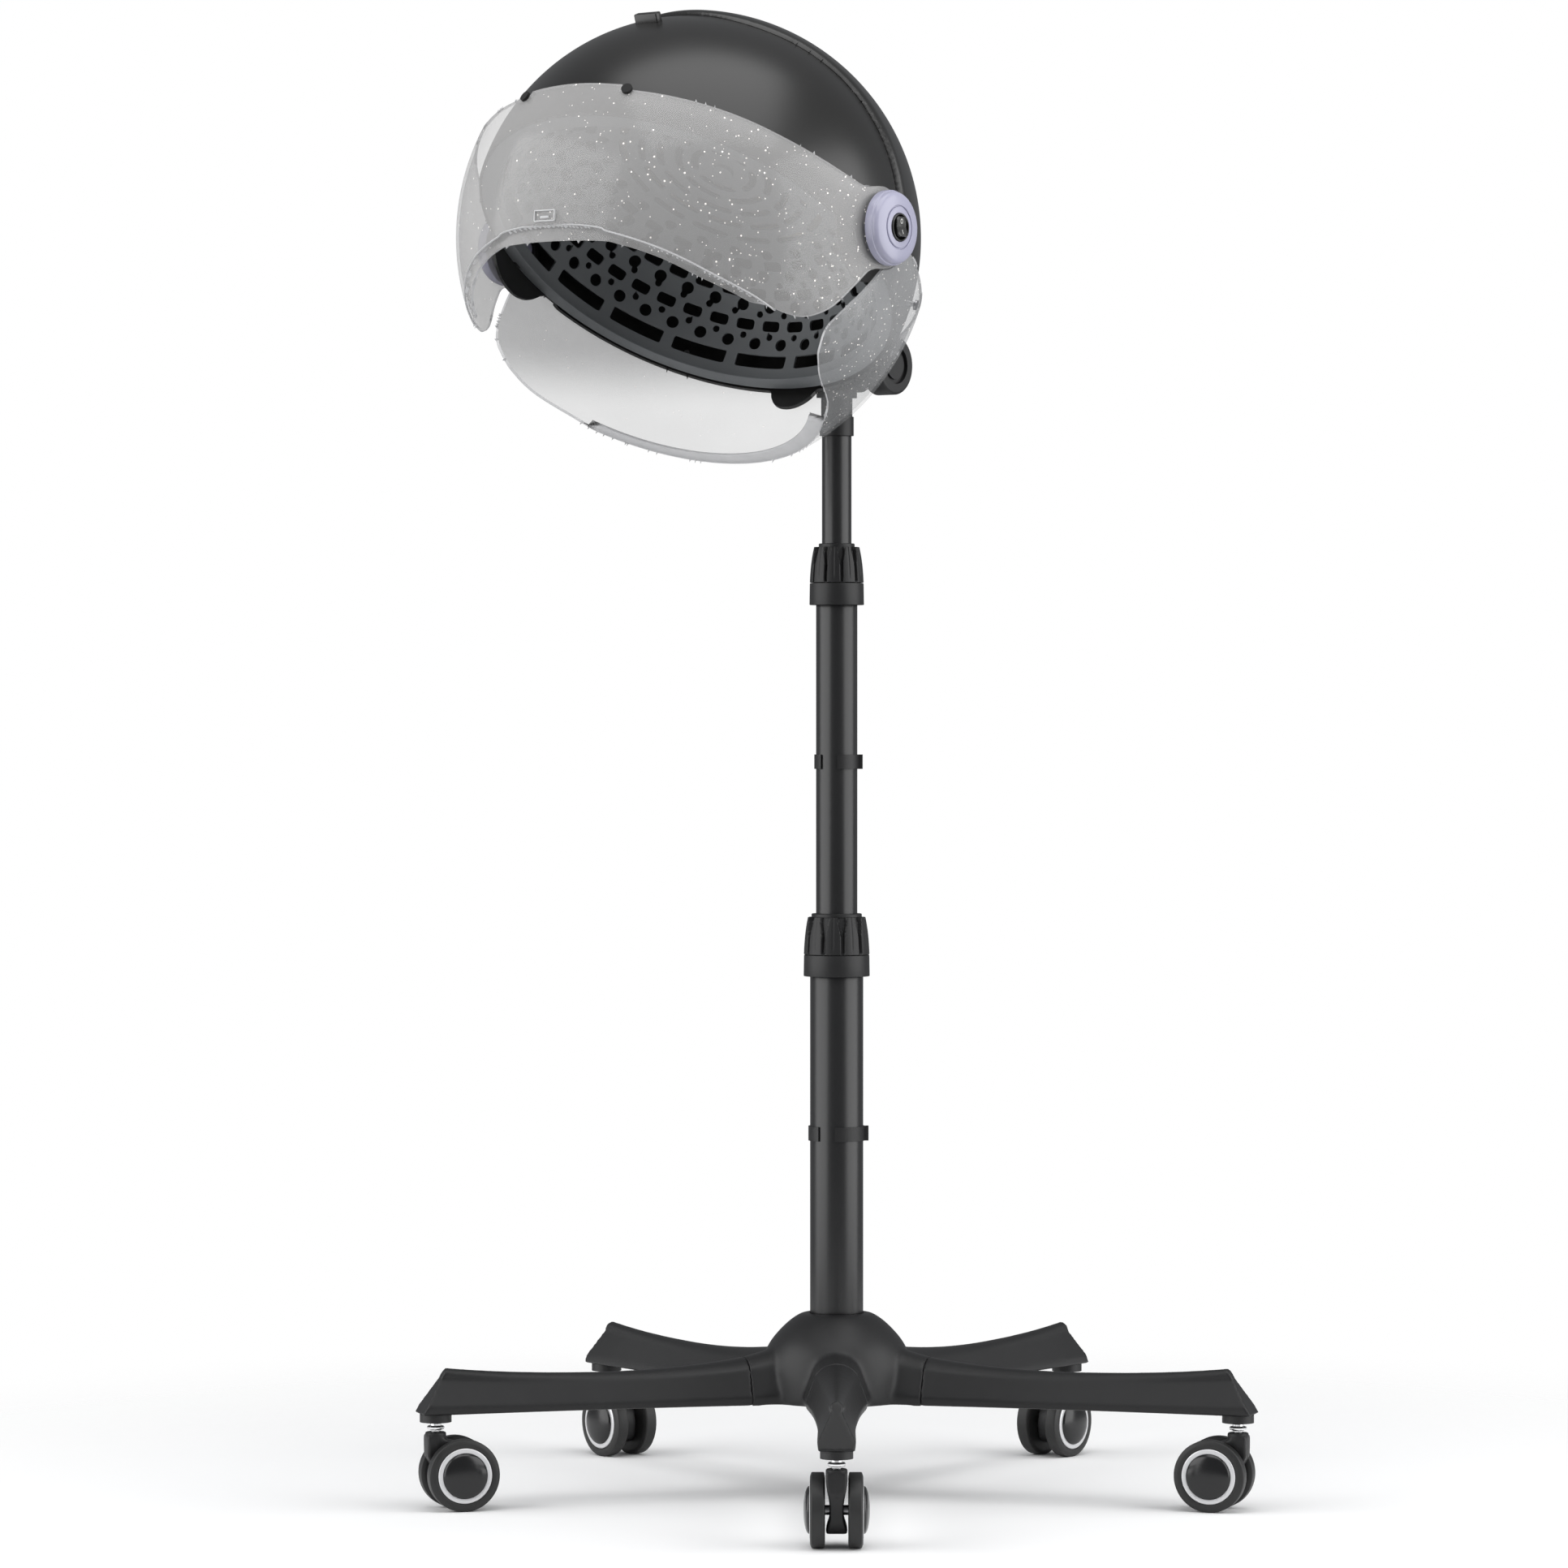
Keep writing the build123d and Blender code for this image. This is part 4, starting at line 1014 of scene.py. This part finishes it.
# The crease bead carries the pale grey painted highlight along the lip's crease.
crease_path = over_front(spline_outline(LIP_CREASE, 12, False), VISOR_R - 0.0006)
crease_bead = bead("visor_crease", crease_path, 0.0008)
LATCH_AT, LATCH_HALF, LATCH_RISE = 0.0068, (0.0100, 0.0042), 0.0011
latch_turn = Matrix.Rotation(-LATCH_AT / VISOR_R, 4, "X")
frame_bars = [block("latch_bar", (2 * LATCH_HALF[0], 2 * LATCH_RISE, 0.0011),
                    (0, -VISOR_R, side * LATCH_HALF[1]), latch_turn, 0.0003) for side in (-1, 1)]
frame_bars += [block("latch_post", (0.0011, 2 * LATCH_RISE, 2 * LATCH_HALF[1]),
                     (side * LATCH_HALF[0], -VISOR_R, 0), latch_turn, 0.0003) for side in (-1, 1)]
tongue = block("latch_tongue", (0.0090, 0.0016, 0.0020), (0, -VISOR_R, -0.0012), latch_turn, 0.0004)
fitted("front_visor_trim", edge_highlight, "smoked_glitter", "visor", crease_bead, *frame_bars, tongue)

SKIRT_TILT, SKIRT_BOTTOM, SKIRT_TOP = math.radians(30.6), 0.122, 0.006
SKIRT_FRONT = [(0.0400, 0.0200), (0.0100, -0.0220), (-0.0062, -0.0385), (-0.0212, -0.0535),
               (-0.0325, -0.0640), (-0.0462, -0.0809), (-0.0452, -0.0967), (-0.0406, -0.1061),
               (-0.0262, -0.1214), (0.0073, -0.1424), (0.0300, -0.1650)]
skirt_outline = np.concatenate([spline_outline(SKIRT_FRONT, closed=False),
                                [(0.0300, -0.2300), (0.2300, -0.2300), (0.2300, 0.1200)]])


def rear_visor_region(p):
    """Between two leaned planes, behind the front outline, with eyes round the hubs and a notch at the
    back for the tilt joint."""
    up = p[:, 1] * math.sin(SKIRT_TILT) + p[:, 2] * math.cos(SKIRT_TILT)
    body = np.maximum.reduce([outline_distance(p[:, 1:], skirt_outline), up - SKIRT_TOP, -up - SKIRT_BOTTOM])
    eye = EYE_R + 0.0008 - np.hypot(p[:, 1], p[:, 2])
    way = back_direction(0, math.radians(-24))
    over = p @ np.array([0, math.sin(math.radians(24)), math.cos(math.radians(24))])
    arms = np.maximum(brick(p[:, 0], over - 0.004, 0.030, 0.047, 0.006), -(p @ way))
    return np.maximum.reduce([body, eye, -arms])


SKIRT_LIP = 0.0125                               # how far the bottom edge turns in


def skirt_lip(name):
    """Turned-in bottom edge: part of a flat ring in the leaned frame, ending at the skirt's front edges."""
    ring_r = math.sqrt(VISOR_R ** 2 - SKIRT_BOTTOM ** 2) - 0.0006
    section = bevelled([(ring_r - SKIRT_LIP, -SKIRT_BOTTOM), (ring_r, -SKIRT_BOTTOM),
                        (ring_r, 0.0022 - SKIRT_BOTTOM), (ring_r - SKIRT_LIP, 0.0022 - SKIRT_BOTTOM)], 0.0006)
    ring = lathe(name, section, 240)
    ring.data.transform(Matrix.Translation(HOOD) @ Matrix.Rotation(-SKIRT_TILT, 4, "X"))
    work = bmesh.new()
    work.from_mesh(ring.data)
    centres = np.array([face.calc_center_median() for face in work.faces]) - np.array(HOOD)
    outside = outline_distance(centres[:, 1:], skirt_outline) > 0
    bmesh.ops.delete(work, geom=[face for face, cut in zip(work.faces[:], outside) if cut], context="FACES")
    bmesh.ops.holes_fill(work, edges=[edge for edge in work.edges if edge.is_boundary])
    work.to_mesh(ring.data)
    work.free()
    return ring


skirt_plastic = smoked("smoked_glitter_skirt", (0.86, 0.58), (0.50, 0.505, 0.51), 0.8)
skirt = trimmed_shell("rear_visor_skin", VISOR_R, 0.0024, rear_visor_region, None, 8)
settled(skirt, skirt_plastic, "hood", "rear_visor")
edged(skirt)
# The skirt's turned-in lip carries the pale grey painted edge highlight.
settled(skirt_lip("rear_visor_lip"), edge_highlight, "hood")


# ---- Hubs and ionic switch ----
# Gloss lavender-grey covers turned like buttons, with a ring groove; the right one holds a round
# black switch whose rocker carries the usual on and off marks.

lavender = Finish("lavender_plastic", (0.36, 0.36, 0.47), roughness=0.22, specular_ior_level=0.5)
lavender.feed("Roughness", 0.18 + lavender.noise(50.0, 3.0) * 0.08)
lavender.feed("Base Color", lavender.blend(lavender.noise(8.0), (0.34, 0.34, 0.445), (0.39, 0.385, 0.50)))
HUB_FOOT = [(0.0, 0.1945), (0.0298, 0.1945), (0.0302, 0.1949), (0.0302, 0.2000), (0.0300, 0.2005),
            (0.0293, 0.2008), (0.0291, 0.2012), (0.0290, 0.2022), (0.0287, 0.2036), (0.0279, 0.2049),
            (0.0262, 0.2060), (0.0230, 0.2068), (0.0181, 0.2073), (0.0177, 0.2071), (0.0175, 0.2062),
            (0.0167, 0.2062), (0.0164, 0.2071), (0.0160, 0.2074)]
hub_faces = {"right_hub": (1, [(0.0118, 0.2077), (0.0115, 0.2074), (0.0115, 0.1986), (0.0, 0.1986)]),
             "left_hub": (-1, [(0.0080, 0.2078), (0.0, 0.2079)])}
for node, (side, ending) in hub_faces.items():
    cover = lathe("cover", HUB_FOOT + ending, 144, "X", HOOD, side)
    stem = lathe("stem", bevelled([(0.0, 0.178), (0.0108, 0.178), (0.0108, 0.1915), (0.0119, 0.1915),
                                   (0.0119, 0.1946), (0.0, 0.1946)]), 64, "X", HOOD, side)
    fitted(node + "_skin", lavender, "lavender_plastic", "hood", cover, stem, node=node)

switch_black = Finish("switch_black", (0.010, 0.010, 0.010), roughness=0.3)
switch_black.feed("Roughness", 0.22 + switch_black.noise(600.0) * 0.12)
bezel = lathe("bezel", [(0.0099, 0.1990), (0.0114, 0.1990), (0.0114, 0.2084), (0.0111, 0.2089),
                        (0.0106, 0.2091), (0.0101, 0.2089), (0.0099, 0.2082), (0.0099, 0.1990)],
              96, "X", HOOD)
well = lathe("well", [(0.0, 0.1992), (0.0100, 0.1992), (0.0100, 0.2030), (0.0, 0.2030)], 64, "X", HOOD)
fitted("switch_body_skin", switch_black, "black_hood_plastic", "hood", bezel, well, node="switch_body")

ROCKER_R, ROCKER_WIDE, ROCKER_PIVOT_X, ROCKER_LEAN = 0.0092, 0.0066, 0.2056, math.radians(7)


def rocker_face(height):
    """Distance of the rocker's shallow V face from the hood's centre, at a height on it."""
    return 0.2092 + 0.0014 * abs(height) / 0.0082 + 0.0001


def rocker_skin():
    """Round-ended rocker: rings that follow its outline, from its foot up over a rounded edge to the face."""
    rows = []
    for sink, inset in ((0.0050, 0.0002), (0.0008, 0.0), (0.0003, 0.0002), (0.0, 0.0008), (0.0, 0.0030),
                        (0.0, 0.0060), (0.0, 0.0085)):
        ring = []
        for angle in np.linspace(0, 2 * np.pi, 96, endpoint=False):
            y, z = (ROCKER_R - inset) * math.cos(angle), (ROCKER_R - inset) * math.sin(angle)
            y = float(np.clip(y, inset * 0.7 - ROCKER_WIDE, ROCKER_WIDE - inset * 0.7))
            z = float(np.clip(z, inset - 0.0082, 0.0082 - inset))
            ring.append((rocker_face(z) - sink - ROCKER_PIVOT_X, y, z))
        rows.append(ring)
    skin = grid_piece("rocker", rows)
    work = bmesh.new()
    work.from_mesh(skin.data)
    bmesh.ops.holes_fill(work, edges=[edge for edge in work.edges if edge.is_boundary])
    bmesh.ops.recalc_face_normals(work, faces=work.faces)
    crease(work, 35)
    work.to_mesh(skin.data)
    work.free()
    return skin


def ring_mark(size, at_z, stroke=0.00035):
    """Raised O mark for off."""
    mark = bpy.data.meshes.new("off_mark")
    work = bmesh.new()
    for turn in range(48):
        a, b = 2 * math.pi * turn / 48, 2 * math.pi * (turn + 1) / 48
        corners = []
        for angle, reach in ((a, size - stroke), (b, size - stroke), (b, size + stroke), (a, size + stroke)):
            y, z = reach * 0.78 * math.cos(angle), at_z + reach * math.sin(angle)
            corners.append(work.verts.new((rocker_face(z) + 0.00006 - ROCKER_PIVOT_X, y, z)))
        work.faces.new(corners)
    work.to_mesh(mark)
    work.free()
    return linked("off_mark", mark)


def bar_mark(half, at_z, stroke=0.00035):
    """Raised I mark for on."""
    flat = ((-stroke, at_z - half), (stroke, at_z - half), (stroke, at_z + half), (-stroke, at_z + half))
    corners = [(rocker_face(z) + 0.00006 - ROCKER_PIVOT_X, y, z) for y, z in flat]
    mark = bpy.data.meshes.new("on_mark")
    mark.from_pydata(corners, [], [(0, 1, 2, 3)])
    return linked("on_mark", mark)


mark_paint = Finish("switch_marks", (0.62, 0.62, 0.60), roughness=0.5)
mark_paint.feed("Roughness", 0.42 + mark_paint.noise(900.0) * 0.15)
rocker_at = Matrix.Translation(HOOD + Vector((ROCKER_PIVOT_X, 0, 0))) @ Matrix.Rotation(-ROCKER_LEAN, 4, "Y")
rocker, marks = rocker_skin(), [ring_mark(0.0017, 0.0043), bar_mark(0.0017, -0.0043)]
for piece in (rocker, *marks):
    piece.data.transform(rocker_at)
fitted("switch_rocker_skin", switch_black, "black_hood_plastic", "switch_rocker", rocker,
       node="switch_rocker")
fitted("switch_rocker_marks", mark_paint, "black_hood_plastic", "switch_rocker", *marks)


# ---- Tilt joint and studs ----
# Nylon neck, bracket and clamping knob that hold the hood on the column, and the two
# black button studs near the visor's upper edge.

nylon.cover(*[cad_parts[node] for node in ("tilt_head", "hood_bracket", "tilt_knob")])
rubber.cover(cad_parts["visor_studs"])
